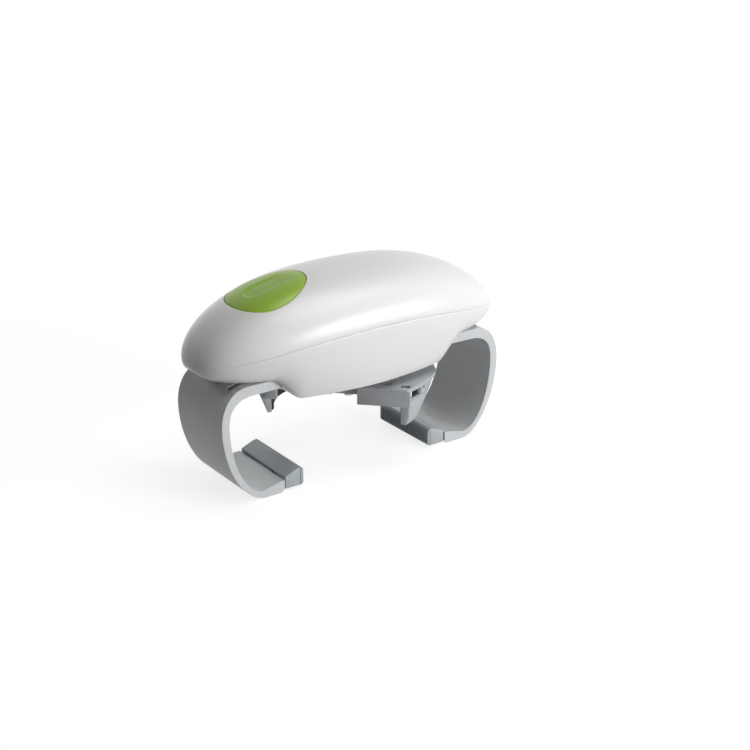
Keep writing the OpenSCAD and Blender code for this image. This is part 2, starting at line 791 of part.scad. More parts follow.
module compound_gear_a() {
    color("#e3e1d8") translate([axis_a, 0, 0]) {
        gear(module_m, wheel_a_teeth, axle_radius + running_fit, wheel_a_base, wheel_a_top);
        gear(module_a, pinion_a_teeth, axle_radius + running_fit, wheel_a_top - 0.2, cover_base - 0.4,
            180 / pinion_a_teeth);
    }
}

module motor_pinion() {
    color(brass_yellow) translate([axis_m, 0, 0]) {
        gear(module_m, motor_pinion_teeth, 0, wheel_a_base - 0.2, wheel_a_top + 0.4,
            180 / motor_pinion_teeth);
        rod(1, motor_top + 0.2, wheel_a_base);
    }
}

// ---- rotor and lid jaws ----

rotor_top = skirt_floor - 0.6;
rotor_base = jaw_top + 0.4;
rotor_radius = 28;
hub_radius = 9;
hub_top = floor_top + 2;
clip_groove = 8.2;
tail_top = jaw_top - jaw_wall - 0.6;
tail_base = jaw_base + 4.2;
tail_outer = 18;
guide_y = 14.6;          // line of the guide screws beside the racks
guide_x = 6;
guide_slot = 3.4;
jaw_in = 23;             // travel of a jaw towards the axis
jaw_out = 5;             // travel of a jaw away from it
head_inner = 35.5;
wing_inner = 12.5;
wing_edge = -shaft_radius - 1.2;

module turned() { rotate([0, 0, rotor_angle]) children(); }

module rotor_plate() {
    color(jaw_grey) turned() difference() {
        union() {
            rod(rotor_radius, rotor_base, rotor_top, 96);
            rod(hub_radius, rotor_top - 1, hub_top, 64);
        }
        rod(shaft_radius + running_fit, rotor_base - 1, hub_top + 1, 48);
        tube(hub_radius + 1, clip_groove, floor_top + 0.35, floor_top + 1.5, 64);
        for (sx = [-1, 1]) for (sy = [-1, 1]) translate([sx * guide_x, sy * guide_y, 0])
            rod(1.25 + seat, rotor_base - 1, rotor_top - 0.6);
    }
}

module rotor_clip() {
    color(steel) difference() {
        tube(11.6, clip_groove + seat, floor_top + 0.4, floor_top + 1.4, 64);
        block(0, 14, -3, 3, floor_top, floor_top + 2);
    }
}

module jaw_screws() {
    color(steel) turned() for (sx = [-1, 1]) for (sy = [-1, 1]) translate([sx * guide_x, sy * guide_y, 0]) {
        rod(1.25, rotor_base - 0.2, rotor_top - 0.8);
        rod(1.45, tail_base - 0.2, rotor_base);
        rod(2.9, tail_base - 1.7, tail_base - 0.2);
    }
}

module jaw_pinion() {
    color(steel) turned() gear(rack_module, jaw_pinion_teeth, shaft_radius + seat, tail_base, tail_top);
}

module pinion_screw() {
    color(steel) {
        rod(5.4, shaft_foot - 1.8, shaft_foot);
        rod(1.1, shaft_foot - 0.2, shaft_foot + 6);
    }
}

// Outline of a jaw head: straight sides, and a long arc across the outer end
head_arc = 77;
head_far = lid_radius + 13.5;
head_skew = 20;

function head_outline(inset) =
    let (r = head_arc - inset, cx = head_far - head_arc, w = jaw_half_width - inset,
        corner = 3, y0 = -w, y1 = w,
        a0 = asin((y0 + corner - head_skew) / r), a1 = asin((y1 - head_skew) / r))
    concat([[head_inner, y0]],
        [for (i = [0:4]) let (t = -90 + 15 * i,
            px = cx + r * cos(a0) - corner, py = y0 + corner) [px + corner * cos(t), py + corner * sin(t)]],
        [for (i = [0:16]) let (t = a0 + (a1 - a0) * i / 16) [cx + r * cos(t), head_skew + r * sin(t)]],
        [[head_inner, y1]]);

// Slanted outside of the jaws: a cone about the rotor's axis
module jaw_cone(inset, z0, z1) {
    slope = 0.37;
    r = lid_radius + 5.4 - inset;
    translate([0, 0, z0]) cylinder(r1 = r + (z0 - finger_foot) * slope, r2 = r + (z1 - finger_foot) * slope,
        h = z1 - z0, $fn = 128);
}

module sector(a0, a1, r) {
    n = 8;
    polygon(concat([[0, 0]], [for (i = [0:n]) let (t = a0 + (a1 - a0) * i / n) [r * cos(t), r * sin(t)]]));
}

finger_from = -32;
finger_to = 20;
finger_side = jaw_half_width - 2.4;
rim = 1.2;               // how far the head's top stands out over its wall

module jaw_head() {
    intersection() {
        translate([0, 0, jaw_top - jaw_wall]) linear_extrude(jaw_wall) polygon(head_outline(0));
        jaw_cone(0, jaw_base, jaw_top);
    }
    intersection() {
        translate([0, 0, jaw_base]) linear_extrude(jaw_top - jaw_wall / 2 - jaw_base) union() {
            polygon(head_outline(rim));
            translate([head_inner, -jaw_half_width]) square([8, 2 * jaw_half_width]);
        }
        union() {
            jaw_cone(rim, jaw_base, jaw_top);
            block(head_inner, head_inner + 8, -jaw_half_width, jaw_half_width, jaw_base, jaw_top);
        }
    }
}

// Half ring that reaches down beside the lid
module jaw_finger() {
    intersection() {
        translate([0, 0, finger_foot]) linear_extrude(jaw_base + 1 - finger_foot) difference() {
            intersection() {
                polygon(head_outline(rim));
                sector(finger_from, finger_to, 80);
                translate([0, -finger_side]) square([80, 80]);
            }
            circle(r = lid_radius + 1.6, $fn = 128);
        }
        jaw_cone(rim, finger_foot, jaw_base + 1);
    }
}

// Plate and side wall that cover the other jaw's rack, slotted for the guide screws
module jaw_wing() {
    difference() {
        block(wing_inner, head_inner + 1, -jaw_half_width, wing_edge, jaw_base, jaw_top);
        block(wing_inner - 1, head_inner + 2, -jaw_half_width + jaw_wall, 0, jaw_base - 1, jaw_top - jaw_wall);
        block(wing_inner - 1, guide_x + jaw_in + 2.4, -guide_y - 1.9, -guide_y + 1.9, tail_top, jaw_top + 1);
    }
}

module jaw_hollow() {
    intersection() {
        translate([0, 0, jaw_base - 0.01]) linear_extrude(jaw_top - jaw_wall - jaw_base)
            polygon(concat([[head_inner - 1, -jaw_half_width + jaw_wall]],
                [for (p = head_outline(rim + jaw_wall)) if (p[0] > head_inner + 0.5) p],
                [[head_inner - 1, jaw_half_width - jaw_wall - rim]]));
        jaw_cone(rim + jaw_wall, jaw_base - 0.01, jaw_top);
    }
}

module jaw_rack() {
    rack_y = jaw_pitch_radius + 1.25 * rack_module;
    difference() {
        union() {
            translate([0, rack_y, 0]) mirror([0, 1, 0])
                rack(rack_module, -20, head_inner + 2, tail_outer - rack_y, tail_base, tail_top, 0.5);
            block(head_inner + 1, head_far - 7, rack_y, tail_outer, tail_base, jaw_top - 0.5);
        }
        for (x = [-guide_x - jaw_out - 0.4, guide_x + jaw_in + 0.4]) translate([x, guide_y, 0])
            rod(guide_slot / 2, tail_base - 1, jaw_top);
        block(-guide_x - jaw_out - 0.4, guide_x + jaw_in + 0.4, guide_y - guide_slot / 2,
            guide_y + guide_slot / 2, tail_base - 1, jaw_top);
    }
}

module jaw() {
    difference() {
        union() {
            jaw_head();
            jaw_finger();
            jaw_wing();
        }
        jaw_hollow();
        // window where the other jaw's rack comes through, and a smaller one beside it
        block(head_inner + 2, 70, -tail_outer - 0.7, -jaw_pitch_radius + 1.4, tail_base - 0.5, tail_top + 0.5);
        block(head_inner + 2, 70, -7, -5, tail_top - 2, tail_top + 0.5);
        // slot in the head's top
        block(head_inner + 1.5, head_inner + 7.5, -19.5, -15.5, jaw_top - jaw_wall - 1, jaw_top + 1);
    }
    jaw_rack();
}

module jaw_grip() {
    translate([0, 0, finger_foot + 1]) linear_extrude(jaw_base - finger_foot - 2) difference() {
        intersection() {
            circle(r = lid_radius + 1.6 - seat, $fn = 128);
            sector(finger_from + 5, finger_to - 1, 80);
        }
        circle(r = lid_radius, $fn = 128);
    }
}

module right_jaw() { color(jaw_grey) turned() jaw(); }
module left_jaw() { color(jaw_grey) turned() rotate([0, 0, 180]) jaw(); }
module right_jaw_grip() { color("#3c4043") turned() jaw_grip(); }
module left_jaw_grip() { color("#3c4043") turned() rotate([0, 0, 180]) jaw_grip(); }

// ---- jar arms ----

function bezier(p, n) = [for (i = [0:n]) let (t = i / n, u = 1 - t)
    u * u * u * p[0] + 3 * u * u * t * p[1] + 3 * u * t * t * p[2] + t * t * t * p[3]];

arm_mid = 48;            // height of the arm's outermost point
tip_x = jar_radius + 13.5;
pin_x = tip_x - 3;
pin_z = 4.9;
pin_radius = 1.5;
tip_top = 7.3;

// C-shaped profile of an arm in (distance from the middle, height)
function arm_profile() =
    let (r = arm_reach, w = arm_wall)
    concat(
        [[r - 30, leg_top]],
        bezier([[r - 17.5, leg_top], [r - 6, leg_top], [r, 60], [r, arm_mid]], 10),
        bezier([[r, arm_mid], [r, 24], [r - 13, 0], [r - 27.5, 0]], 14),
        [[tip_x + 2, 0], [tip_x, 2], [tip_x, tip_top]],
        [[tip_x + 3, tip_top]],
        bezier([[r - 25.5, w - 0.2], [r - 13, w - 0.2], [r - w, 28], [r - w, arm_mid]], 14),
        bezier([[r - w, arm_mid], [r - w, 58], [r - 9, leg_base], [r - 21.5, leg_base]], 10),
        [[r - 30, leg_base]]);

module arm() {
    rack_y = arm_pitch_radius + 1.25 * rack_module;
    bar_y = rack_y + 5;
    rail_y = rail_edge - 5.5;
    leg_end = arm_reach - 30;
    difference() {
        rotate([90, 0, 180]) translate([0, 0, -rail_edge]) linear_extrude(arm_width) polygon(arm_profile());
        // gaps of the fork, on both sides of the rack bar
        for (g = [[-rail_y, -bar_y], [-rack_y + 2, rail_y]])
            block(-arm_reach + 9, -leg_end + 1, g[0], g[1], leg_base - 6, leg_top + 1);
        // hinge bore
        translate([-pin_x, rail_edge + 1, pin_z]) rotate([90, 0, 0]) cylinder(r = pin_radius + 0.3,
            h = arm_width + 2, $fn = 32);
    }
    // hinge barrel
    difference() {
        union() {
            translate([-pin_x, 10, pin_z]) rotate([90, 0, 0]) cylinder(r = 2.6, h = 20, $fn = 32);
            block(-tip_x - 0.5, -pin_x, -10, 10, pin_z - 2.4, pin_z + 2);
        }
        translate([-pin_x, 11, pin_z]) rotate([90, 0, 0]) cylinder(r = pin_radius + running_fit, h = 22, $fn = 32);
    }
    // rails
    for (s = [-1, 1]) block(-leg_end, -rail_inner_end, s > 0 ? rail_y : -rail_edge,
        s > 0 ? rail_edge : -rail_y, leg_base, leg_top);
    // rack, towards the arm pinion
    translate([0, -rack_y, 0]) rack(rack_module, -leg_end - 0.01, 16, bar_y - rack_y, leg_base + 0.2,
        leg_top - 0.2, 0);
}

module left_arm() { color(arm_grey) arm(); }
module right_arm() { color(arm_grey) rotate([0, 0, 180]) arm(); }

module arm_pinion() {
    color(inner_grey) gear(rack_module, arm_pinion_teeth, shaft_radius + running_fit, leg_base + 0.2,
        leg_top - 0.2);
}

// Cone washer that drags the arm pinion round until the pads are tight
module clutch_spring() {
    z0 = leg_top - 0.15;
    z1 = shelf_top;
    color(steel) rotate_extrude($fn = 64) polygon([[shaft_radius + 0.3, z1 - 0.6], [shaft_radius + 0.3, z1],
        [7.6, z0 + 0.6], [7.6, z0]]);
}

// ---- jar pads ----

pad_base = 1.3;
pad_top = pad_base + pad_height;
pad_half = rail_edge - 0.4;
pad_back = tip_x - 0.8;
rubber_depth = 2.6;

function pad_profile(x0, x1, r0, r1) =
    concat([for (i = [0:4]) let (t = 180 + 22.5 * i) [x0 + r0 + r0 * cos(t), pad_base + r0 + r0 * sin(t)]],
        [for (i = [0:4]) let (t = 270 + 22.5 * i) [x1 - r1 + r1 * cos(t), pad_base + r1 + r1 * sin(t)]],
        [for (i = [0:4]) let (t = 22.5 * i) [x1 - r1 + r1 * cos(t), pad_top - r1 + r1 * sin(t)]],
        [for (i = [0:4]) let (t = 90 + 22.5 * i) [x0 + r0 + r0 * cos(t), pad_top - r0 + r0 * sin(t)]]);

module pad_bar(x0, x1, r0, r1) {
    rotate([90, 0, 180]) translate([0, 0, -pad_half]) linear_extrude(2 * pad_half)
        polygon(pad_profile(x0, x1, r0, r1));
}

module pad_carrier() {
    difference() {
        pad_bar(jar_radius + rubber_depth, pad_back, 0.4, 1);
        block(-pad_back - 1, -pin_x + 3.2, -10.4, 10.4, pad_base - 1, pin_z + 3.2);
        translate([-pin_x, pad_half + 1, pin_z]) rotate([90, 0, 0]) cylinder(r = pin_radius + seat,
            h = 2 * pad_half + 2, $fn = 32);
    }
}

module pad_rubber() {
    pad_bar(jar_radius, jar_radius + rubber_depth, 2.4, 0.2);
}

module pad_pin() {
    translate([-pin_x, pad_half, pin_z]) rotate([90, 0, 0]) cylinder(r = pin_radius, h = 2 * pad_half, $fn = 32);
}

module left_pad_carrier() { color(pad_grey) pad_carrier(); }
module right_pad_carrier() { color(pad_grey) rotate([0, 0, 180]) pad_carrier(); }
module left_pad_rubber() { color(pad_grey) pad_rubber(); }
module right_pad_rubber() { color(pad_grey) rotate([0, 0, 180]) pad_rubber(); }
module left_pad_pin() { color("#2c2e30") pad_pin(); }
module right_pad_pin() { color("#2c2e30") rotate([0, 0, 180]) pad_pin(); }

lower_casing();
upper_casing();
casing_screws();
battery_door();
battery_cells();
battery_contacts();
chassis_plate();
chassis_screws();
gear_tray();
gearbox_cover();
gearbox_screws();
ring_gear();
shaft_bush();
rotor_bush();
gear_axles();
motor();
motor_bracket();
switch_board();
micro_switch();
supply_wires();
return_wire();
button();
button_spring();
left_arm();
right_arm();
arm_pinion();
clutch_spring();
left_pad_carrier();
right_pad_carrier();
left_pad_rubber();
right_pad_rubber();
left_pad_pin();
right_pad_pin();
drive_shaft();
planet_carrier();
planet_pins();
jaw_pinion();
pinion_screw();
planet_gear_1();
planet_gear_2();
planet_gear_3();
sun_gear();
compound_gear_b();
compound_gear_a();
motor_pinion();
rotor_plate();
rotor_clip();
jaw_screws();
left_jaw();
right_jaw();
left_jaw_grip();
right_jaw_grip();
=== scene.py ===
# %% [markdown]
# # An electric jar opener
# The object is a smooth white casing with a green push button. Two bent arms slide in its skirt and
# hold a jar, and under the skirt a rotor carries two jaws that grip and turn its lid. The CAD model holds
# every piece at its real size. This notebook gives them their looks: finely curved shells in place of
# faceted ones, rounded edges, and a finish for every surface.

# %% Load the frame
import json
import math

import bmesh
import bpy
from mathutils import Matrix, Vector


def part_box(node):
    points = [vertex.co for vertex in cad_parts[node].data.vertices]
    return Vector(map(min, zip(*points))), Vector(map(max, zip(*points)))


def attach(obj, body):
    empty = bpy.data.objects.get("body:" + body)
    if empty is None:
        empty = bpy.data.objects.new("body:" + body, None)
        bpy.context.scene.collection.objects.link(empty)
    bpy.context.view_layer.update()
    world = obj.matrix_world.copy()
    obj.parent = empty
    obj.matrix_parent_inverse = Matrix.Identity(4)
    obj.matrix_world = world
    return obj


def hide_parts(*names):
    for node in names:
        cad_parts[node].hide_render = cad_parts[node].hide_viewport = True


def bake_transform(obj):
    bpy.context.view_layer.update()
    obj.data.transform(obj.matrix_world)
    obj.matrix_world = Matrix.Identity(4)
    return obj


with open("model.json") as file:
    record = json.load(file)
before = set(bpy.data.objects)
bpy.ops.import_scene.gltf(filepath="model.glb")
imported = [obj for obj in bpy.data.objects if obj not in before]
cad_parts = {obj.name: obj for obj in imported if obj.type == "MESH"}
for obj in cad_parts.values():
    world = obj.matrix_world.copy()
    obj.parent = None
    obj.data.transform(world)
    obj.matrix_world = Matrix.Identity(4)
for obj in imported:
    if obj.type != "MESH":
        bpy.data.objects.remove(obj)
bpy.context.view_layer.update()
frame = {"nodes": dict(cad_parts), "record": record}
MM = 0.001

# %% [markdown]
# ## Camera
# The photograph looks down a little, from the front and left of the button's end. A camera is placed by
# a bearing, a height angle and a distance from the point it looks at, which reads better than raw
# coordinates. The lens was worked out from how fast the body narrows with distance.

# %% Camera
BEARING = math.radians(-35.52)
HEIGHT_ANGLE = math.radians(21.83)
DISTANCE = 925.55 * MM
LOOK_AT = Vector((23.3, 0, 45.14)) * MM
LENS = 73.59

toward_camera = Vector((math.sin(BEARING) * math.cos(HEIGHT_ANGLE),
                        -math.cos(BEARING) * math.cos(HEIGHT_ANGLE),
                        math.sin(HEIGHT_ANGLE)))
camera_data = bpy.data.cameras.new("camera")
camera_data.lens = LENS
camera_data.sensor_width = 36
camera_data.clip_start = 0.05
camera = bpy.data.objects.new("camera", camera_data)
camera.location = LOOK_AT + toward_camera * DISTANCE
camera.rotation_euler = (-toward_camera).to_track_quat("-Z", "Y").to_euler()
bpy.context.scene.collection.objects.link(camera)
bpy.context.scene.camera = camera
print("camera at", [round(v, 4) for v in camera.location])

# %% [markdown]
# ## Helpers for meshes
# Every piece is made in millimetres as plain vertices and faces, and turned to metres once, when its
# mesh is made. Its object stays at the origin, so patterns on Object coordinates sit still on it.

# %% Mesh helpers
scene = bpy.context.scene


def piece(name, points, faces):
    """A mesh object from points in millimetres."""
    mesh = bpy.data.meshes.new(name)
    mesh.from_pydata([tuple(c * MM for c in p) for p in points], [], [tuple(f) for f in faces])
    mesh.validate()
    made = bpy.data.objects.new(name, mesh)
    scene.collection.objects.link(made)
    return made


def bake(made):
    """Replaces the mesh by what the modifiers make of it."""
    view = bpy.context.evaluated_depsgraph_get()
    mesh = bpy.data.meshes.new_from_object(made.evaluated_get(view))
    made.modifiers.clear()
    old = made.data
    made.data = mesh
    bpy.data.meshes.remove(old)
    return made


def combine(made, tool, how="DIFFERENCE"):
    """Cuts, joins or intersects made with tool, and removes tool."""
    modifier = made.modifiers.new("combine", "BOOLEAN")
    modifier.object = tool
    modifier.operation = how
    modifier.solver = "EXACT"
    bake(made)
    bpy.data.objects.remove(tool)
    return made


def fix_normals(made):
    """Merges points that coincide and turns all faces outwards."""
    work = bmesh.new()
    work.from_mesh(made.data)
    bmesh.ops.remove_doubles(work, verts=work.verts, dist=1e-6)
    bmesh.ops.recalc_face_normals(work, faces=work.faces)
    work.to_mesh(made.data)
    work.free()


def tidy(made):
    """Merges points within 5 micrometres and faces in one plane, so that edges round well."""
    work = bmesh.new()
    work.from_mesh(made.data)
    bmesh.ops.remove_doubles(work, verts=work.verts, dist=5e-6)
    bmesh.ops.dissolve_limit(work, angle_limit=math.radians(0.4), verts=work.verts, edges=work.edges)
    work.to_mesh(made.data)
    work.free()
    return made


def join(name, parts):
    """One object from several, which keep their own closed surfaces."""
    points, faces = [], []
    for part in parts:
        start = len(points)
        points += [tuple(v.co / MM) for v in part.data.vertices]
        faces += [[start + i for i in p.vertices] for p in part.data.polygons]
        bpy.data.objects.remove(part)
    return piece(name, points, faces)


def turned(made, name, degrees):
    """A copy of a piece, turned about the vertical axis."""
    mesh = made.data.copy()
    mesh.transform(Matrix.Rotation(math.radians(degrees), 4, "Z"))
    copy = bpy.data.objects.new(name, mesh)
    scene.collection.objects.link(copy)
    return copy


def round_edges(made, width, segments=3, angle=40):
    """Rounds the edges that are sharper than angle."""
    modifier = made.modifiers.new("round", "BEVEL")
    modifier.width = width * MM
    modifier.segments = segments
    modifier.limit_method = "ANGLE"
    modifier.angle_limit = math.radians(angle)
    modifier.harden_normals = False
    return bake(made)


def smooth(made, angle=35):
    """Shades the mesh smooth, apart from edges sharper than angle."""
    made.data.polygons.foreach_set("use_smooth", [True] * len(made.data.polygons))
    made.data.set_sharp_from_angle(angle=math.radians(angle))
    return made


def prism(name, outline, z0, z1, top=None):
    """An upright prism on an outline that runs anticlockwise, or a frustum up to another outline."""
    n = len(outline)
    points = [(x, y, z0) for x, y in outline] + [(x, y, z1) for x, y in top or outline]
    sides = [(i, (i + 1) % n, n + (i + 1) % n, n + i) for i in range(n)]
    return piece(name, points, [list(range(n))[::-1], list(range(n, 2 * n))] + sides)


def box(x0, x1, y0, y1, z0, z1):
    return prism("box", [(x0, y0), (x1, y0), (x1, y1), (x0, y1)], z0, z1)


def circle(radius, cx=0, cy=0, n=48):
    return [(cx + radius * math.cos(2 * math.pi * i / n), cy + radius * math.sin(2 * math.pi * i / n))
            for i in range(n)]


def stack(name, first, rings, last):
    """A closed skin over a stack of rings, from one end point to the other."""
    n = len(rings[0])
    points = [first] + [p for ring in rings for p in ring] + [last]
    end = len(points) - 1
    faces = [(0, 1 + (i + 1) % n, 1 + i) for i in range(n)]
    faces += [(1 + k * n + i, 1 + k * n + (i + 1) % n, 1 + (k + 1) * n + (i + 1) % n, 1 + (k + 1) * n + i)
              for k in range(len(rings) - 1) for i in range(n)]
    faces += [(end, end - n + i, end - n + (i + 1) % n) for i in range(n)]
    return piece(name, points, faces)


def lathe(name, profile, n=40):
    """A closed turned piece from (radius, height) points that start and end on the axis."""
    rings = [[(r * x, r * y, z) for x, y in circle(1, n=n)] for r, z in profile[1:-1]]
    return stack(name, (0, 0, profile[0][1]), rings, (0, 0, profile[-1][1]))


def place(made, x=0, turn=0):
    """Moves a mesh along X after turning it about the vertical axis."""
    turning = Matrix.Rotation(math.radians(turn), 4, "Z")
    made.data.transform(Matrix.Translation((x * MM, 0, 0)) @ turning)
    return made


def across(name, outline, y0, y1):
    """A prism along Y on an outline of (x, z) that runs anticlockwise seen from the front."""
    made = prism(name, outline, -y1, -y0)
    made.data.transform(Matrix.Rotation(math.radians(90), 4, "X"))
    return made


# %% [markdown]
# ## Helpers for materials
# Colours are written as in a paint program and turned to linear light by one function. One small
# function adds a shader node with its settings and links, so a material reads as a list of nodes.

# %% Material helpers
def linear(hex_colour):
    """A colour such as #a0b0c0 as linear red, green, blue and alpha."""
    channels = [int(hex_colour[i:i + 2], 16) / 255 for i in (1, 3, 5)]
    return [c / 12.92 if c <= 0.04045 else ((c + 0.055) / 1.055) ** 2.4 for c in channels] + [1.0]


def add(tree, kind, links=None, **settings):
    """Adds a node. Settings are sockets by name, or properties of the node; links are socket: output."""
    node = tree.nodes.new(kind)
    for name, value in settings.items():
        if name in node.bl_rna.properties:
            setattr(node, name, value)
        else:
            node.inputs[name.replace("_", " ")].default_value = value
    for name, output in (links or {}).items():
        tree.links.new(output, node.inputs[name])
    return node


DRIFT = 45.0
NOISE_LOW, NOISE_HIGH = 0.3, 0.7


def moulded(name, colour, shade, roughness, spread, grain, depth, ior=1.5, metallic=0.0,
            stretch=(1, 1, 1), detail=2.0):
    """A finish with slow drift in its colour, and a fine relief that also sets its gloss.

    grain and depth are the relief's pitch and depth in millimetres; spread is how far the roughness
    wanders. stretch draws the relief out along an axis, as brushing does, and detail is how many finer
    layers the relief has. The drift is DRIFT millimetres wide, and noise keeps within its low and high.
    """
    material = bpy.data.materials.new(name)
    material.use_nodes = True
    tree = material.node_tree
    tree.nodes.clear()
    place = add(tree, "ShaderNodeTexCoord")
    drift = add(tree, "ShaderNodeTexNoise", {"Vector": place.outputs["Object"]},
                Scale=1 / (DRIFT * MM), Detail=1.0, Roughness=0.4)
    tone = add(tree, "ShaderNodeMix", {"Factor": drift.outputs["Fac"]}, data_type="RGBA")
    tone.inputs[6].default_value = linear(shade)
    tone.inputs[7].default_value = linear(colour)
    drawn = add(tree, "ShaderNodeMapping", {"Vector": place.outputs["Object"]}, Scale=stretch)
    relief = add(tree, "ShaderNodeTexNoise", {"Vector": drawn.outputs["Vector"]},
                 Scale=1 / (grain * MM), Detail=detail, Roughness=0.6)
    gloss = add(tree, "ShaderNodeMapRange", {"Value": relief.outputs["Fac"]}, From_Min=NOISE_LOW,
                From_Max=NOISE_HIGH, To_Min=roughness - spread, To_Max=roughness + spread)
    bump = add(tree, "ShaderNodeBump", {"Height": relief.outputs["Fac"]}, Strength=1.0, Distance=depth * MM)
    shader = add(tree, "ShaderNodeBsdfPrincipled",
                 {"Base Color": tone.outputs[2], "Roughness": gloss.outputs["Result"],
                  "Normal": bump.outputs["Normal"]}, IOR=ior, Metallic=metallic)
    add(tree, "ShaderNodeOutputMaterial", {"Surface": shader.outputs["BSDF"]})
    return material


def finish(made, material):
    """Gives an object one material on all its faces."""
    made.data.materials.clear()
    made.data.materials.append(material)
    made.data.polygons.foreach_set("material_index", [0] * len(made.data.polygons))
    return made


# %% [markdown]
# ## Finishes
# Each finish starts from the real material and how its surface was made. The relief is drawn coarser
# than the real one wherever that would be too fine to show.

# %% Finishes
# ABS from a polished mould: even gloss with slow waves, so long highlights show the form.
white_abs = moulded("white_abs_polished", "#f0efee", "#eeedec", 0.3, 0.01, 16.0, 0.004, ior=1.54, detail=0.0)
green_abs = moulded("green_abs_polished", "#90b700", "#8ab000", 0.3, 0.01, 12.0, 0.004, ior=1.54, detail=0.0)
# Plastics from a spark-eroded mould: a fine satin grain that spreads every highlight.
arm_plastic = moulded("grey_abs_spark_eroded", "#d2d4d6", "#cdd0d2", 0.40, 0.05, 0.6, 0.006, ior=1.53)
jaw_plastic = moulded("mid_grey_nylon", "#b3b6b9", "#adb0b3", 0.42, 0.05, 0.6, 0.006, ior=1.53)
pad_plastic = moulded("slate_grey_plastic", "#b2babe", "#abb4b8", 0.45, 0.05, 0.6, 0.006, ior=1.52)
dark_plastic = moulded("dark_grey_nylon", "#5b5f62", "#505457", 0.5, 0.06, 0.6, 0.006, ior=1.53)
switch_black = moulded("black_switch_body", "#232527", "#1d1f21", 0.5, 0.06, 0.6, 0.006, ior=1.5)
# Moulded rubbers: matt, with a fine tooth and hardly a highlight.
pad_rubber = moulded("grey_thermoplastic_rubber", "#a6afb3", "#9fa8ac", 0.6, 0.05, 0.5, 0.01, ior=1.5)
grip_rubber = moulded("dark_nitrile_rubber", "#3a3e41", "#313538", 0.7, 0.05, 0.5, 0.01, ior=1.5)
# Ground and turned metals: the relief is drawn out along the cut, which stretches the highlight.
ground_steel = moulded("ground_steel", "#b9bbbd", "#a9abad", 0.3, 0.06, 0.3, 0.004, metallic=1.0,
                       stretch=(1, 1, 0.15))
turned_brass = moulded("turned_brass", "#c9a35a", "#b8914b", 0.28, 0.06, 0.3, 0.004, metallic=1.0,
                       stretch=(0.2, 0.2, 1))
# Rolled and plated, or blackened, sheet and wire: a soft metal sheen, clouded a little.
zinc_sheet = moulded("zinc_plated_sheet", "#b4b7b8", "#9ea2a5", 0.38, 0.08, 1.2, 0.004, metallic=1.0)
black_steel = moulded("blackened_steel", "#3a3c3e", "#2e3032", 0.42, 0.06, 0.4, 0.004, metallic=1.0)
# Acetal without dye: milky and slightly waxy.
acetal = moulded("natural_acetal", "#e4e0d4", "#dad6c9", 0.38, 0.05, 0.8, 0.004, ior=1.48)
# Skins over something else: a shrunk sleeve on a can, solder mask on fibreglass, vinyl on wire.
cell_sleeve = moulded("printed_cell_sleeve", "#3d4347", "#34393d", 0.3, 0.04, 1.5, 0.004, metallic=0.4)
board_mask = moulded("green_solder_mask", "#2f6b46", "#28603e", 0.35, 0.05, 0.8, 0.004, ior=1.5)
wire_sleeve = moulded("red_vinyl_sleeve", "#a8322c", "#962a25", 0.42, 0.05, 1.0, 0.004, ior=1.52)

by_slot = {
    "casing_white": white_abs, "button_green": green_abs, "arm_plastic": arm_plastic,
    "jaw_plastic": jaw_plastic, "pad_plastic": pad_plastic, "pad_rubber": pad_rubber,
    "grip_rubber": grip_rubber, "pin_steel": ground_steel, "sheet_steel": zinc_sheet,
    "brass": turned_brass, "gear_plastic": acetal, "inner_plastic": dark_plastic,
    "cell_skin": cell_sleeve, "board": board_mask, "switch_black": switch_black,
    "wire_red": wire_sleeve,
}


def dress(made, node_name, slot, body, material=None):
    """Lets a piece stand for a CAD node: hides the node, gives the piece a finish, by default the slot's, and
    attaches it to the body that it moves with.
    """
    finish(made, material or by_slot[slot])
    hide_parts(node_name)
    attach(made, body)


slot_of = {s["node"]: s["material_slot"] for s in frame["record"]["subparts"]}
for node_name, node in frame["nodes"].items():
    finish(node, by_slot[slot_of[node_name]])
print("finishes:", len(by_slot), "on", len(slot_of), "nodes")

# %% [markdown]
# ## The form of the casing
# Seen from above, the casing is a superellipse, an outline between an ellipse and a rectangle. The seam
# between the two shells rises towards the middle. The dome's ridge is another such curve, fuller at the
# button's end. A few formulas hold all of this, and they are the same ones that the CAD model uses.

# %% Casing form
HALF_LENGTH = 103.0
HALF_WIDTH = 41.5
TOP = 121.0
TIP = 80.0
RISE = 13.5
WALL = 2.2
SKIRT_FLOOR = 57.5
SKIRT_HALF = 48.0
SKIRT_SWEEP = 18.0
END_DEPTH = 9.2
PLAN_POWER = 2.4
DOME_POWER = 2.2
END_POWER = 10
RIDGE_BUTTON_END = (2.45, 1.75)
RIDGE_FAR_END = (2.72, 1.44)
THINNEST = 0.05


def ease(t):
    t = min(max(t, 0.0), 1.0)
    return t * t * (3 - 2 * t)


def share(x, inset):
    return min(abs(x) / (HALF_LENGTH - inset), 1.0)


def plan_half(x, inset=0.0):
    return (HALF_WIDTH - inset) * (1 - share(x, inset) ** PLAN_POWER) ** (1 / PLAN_POWER)


def seam_z(x):
    return TIP + RISE * (1 - (x / HALF_LENGTH) ** 2)


def ridge_z(x, inset=0.0):
    p, q = RIDGE_BUTTON_END if x < 0 else RIDGE_FAR_END
    return TIP + (TOP - TIP - inset) * (1 - share(x, inset) ** p) ** (1 / q)


def dome_z(x, y, inset=0.0):
    v = min(abs(y) / plan_half(x, inset), 1.0)
    height = max(ridge_z(x, inset) - seam_z(x), THINNEST)
    return seam_z(x) + height * (1 - v ** DOME_POWER) ** (1 / DOME_POWER)


def end_share(x, inset=0.0):
    return ease((abs(x) + inset - SKIRT_HALF) / SKIRT_SWEEP)


def underside_z(x, inset=0.0):
    e = end_share(x, inset)
    end = TIP - (END_DEPTH - inset) * math.sqrt(1 - share(x, inset) ** END_POWER)
    return (SKIRT_FLOOR + inset) * (1 - e) + end * e


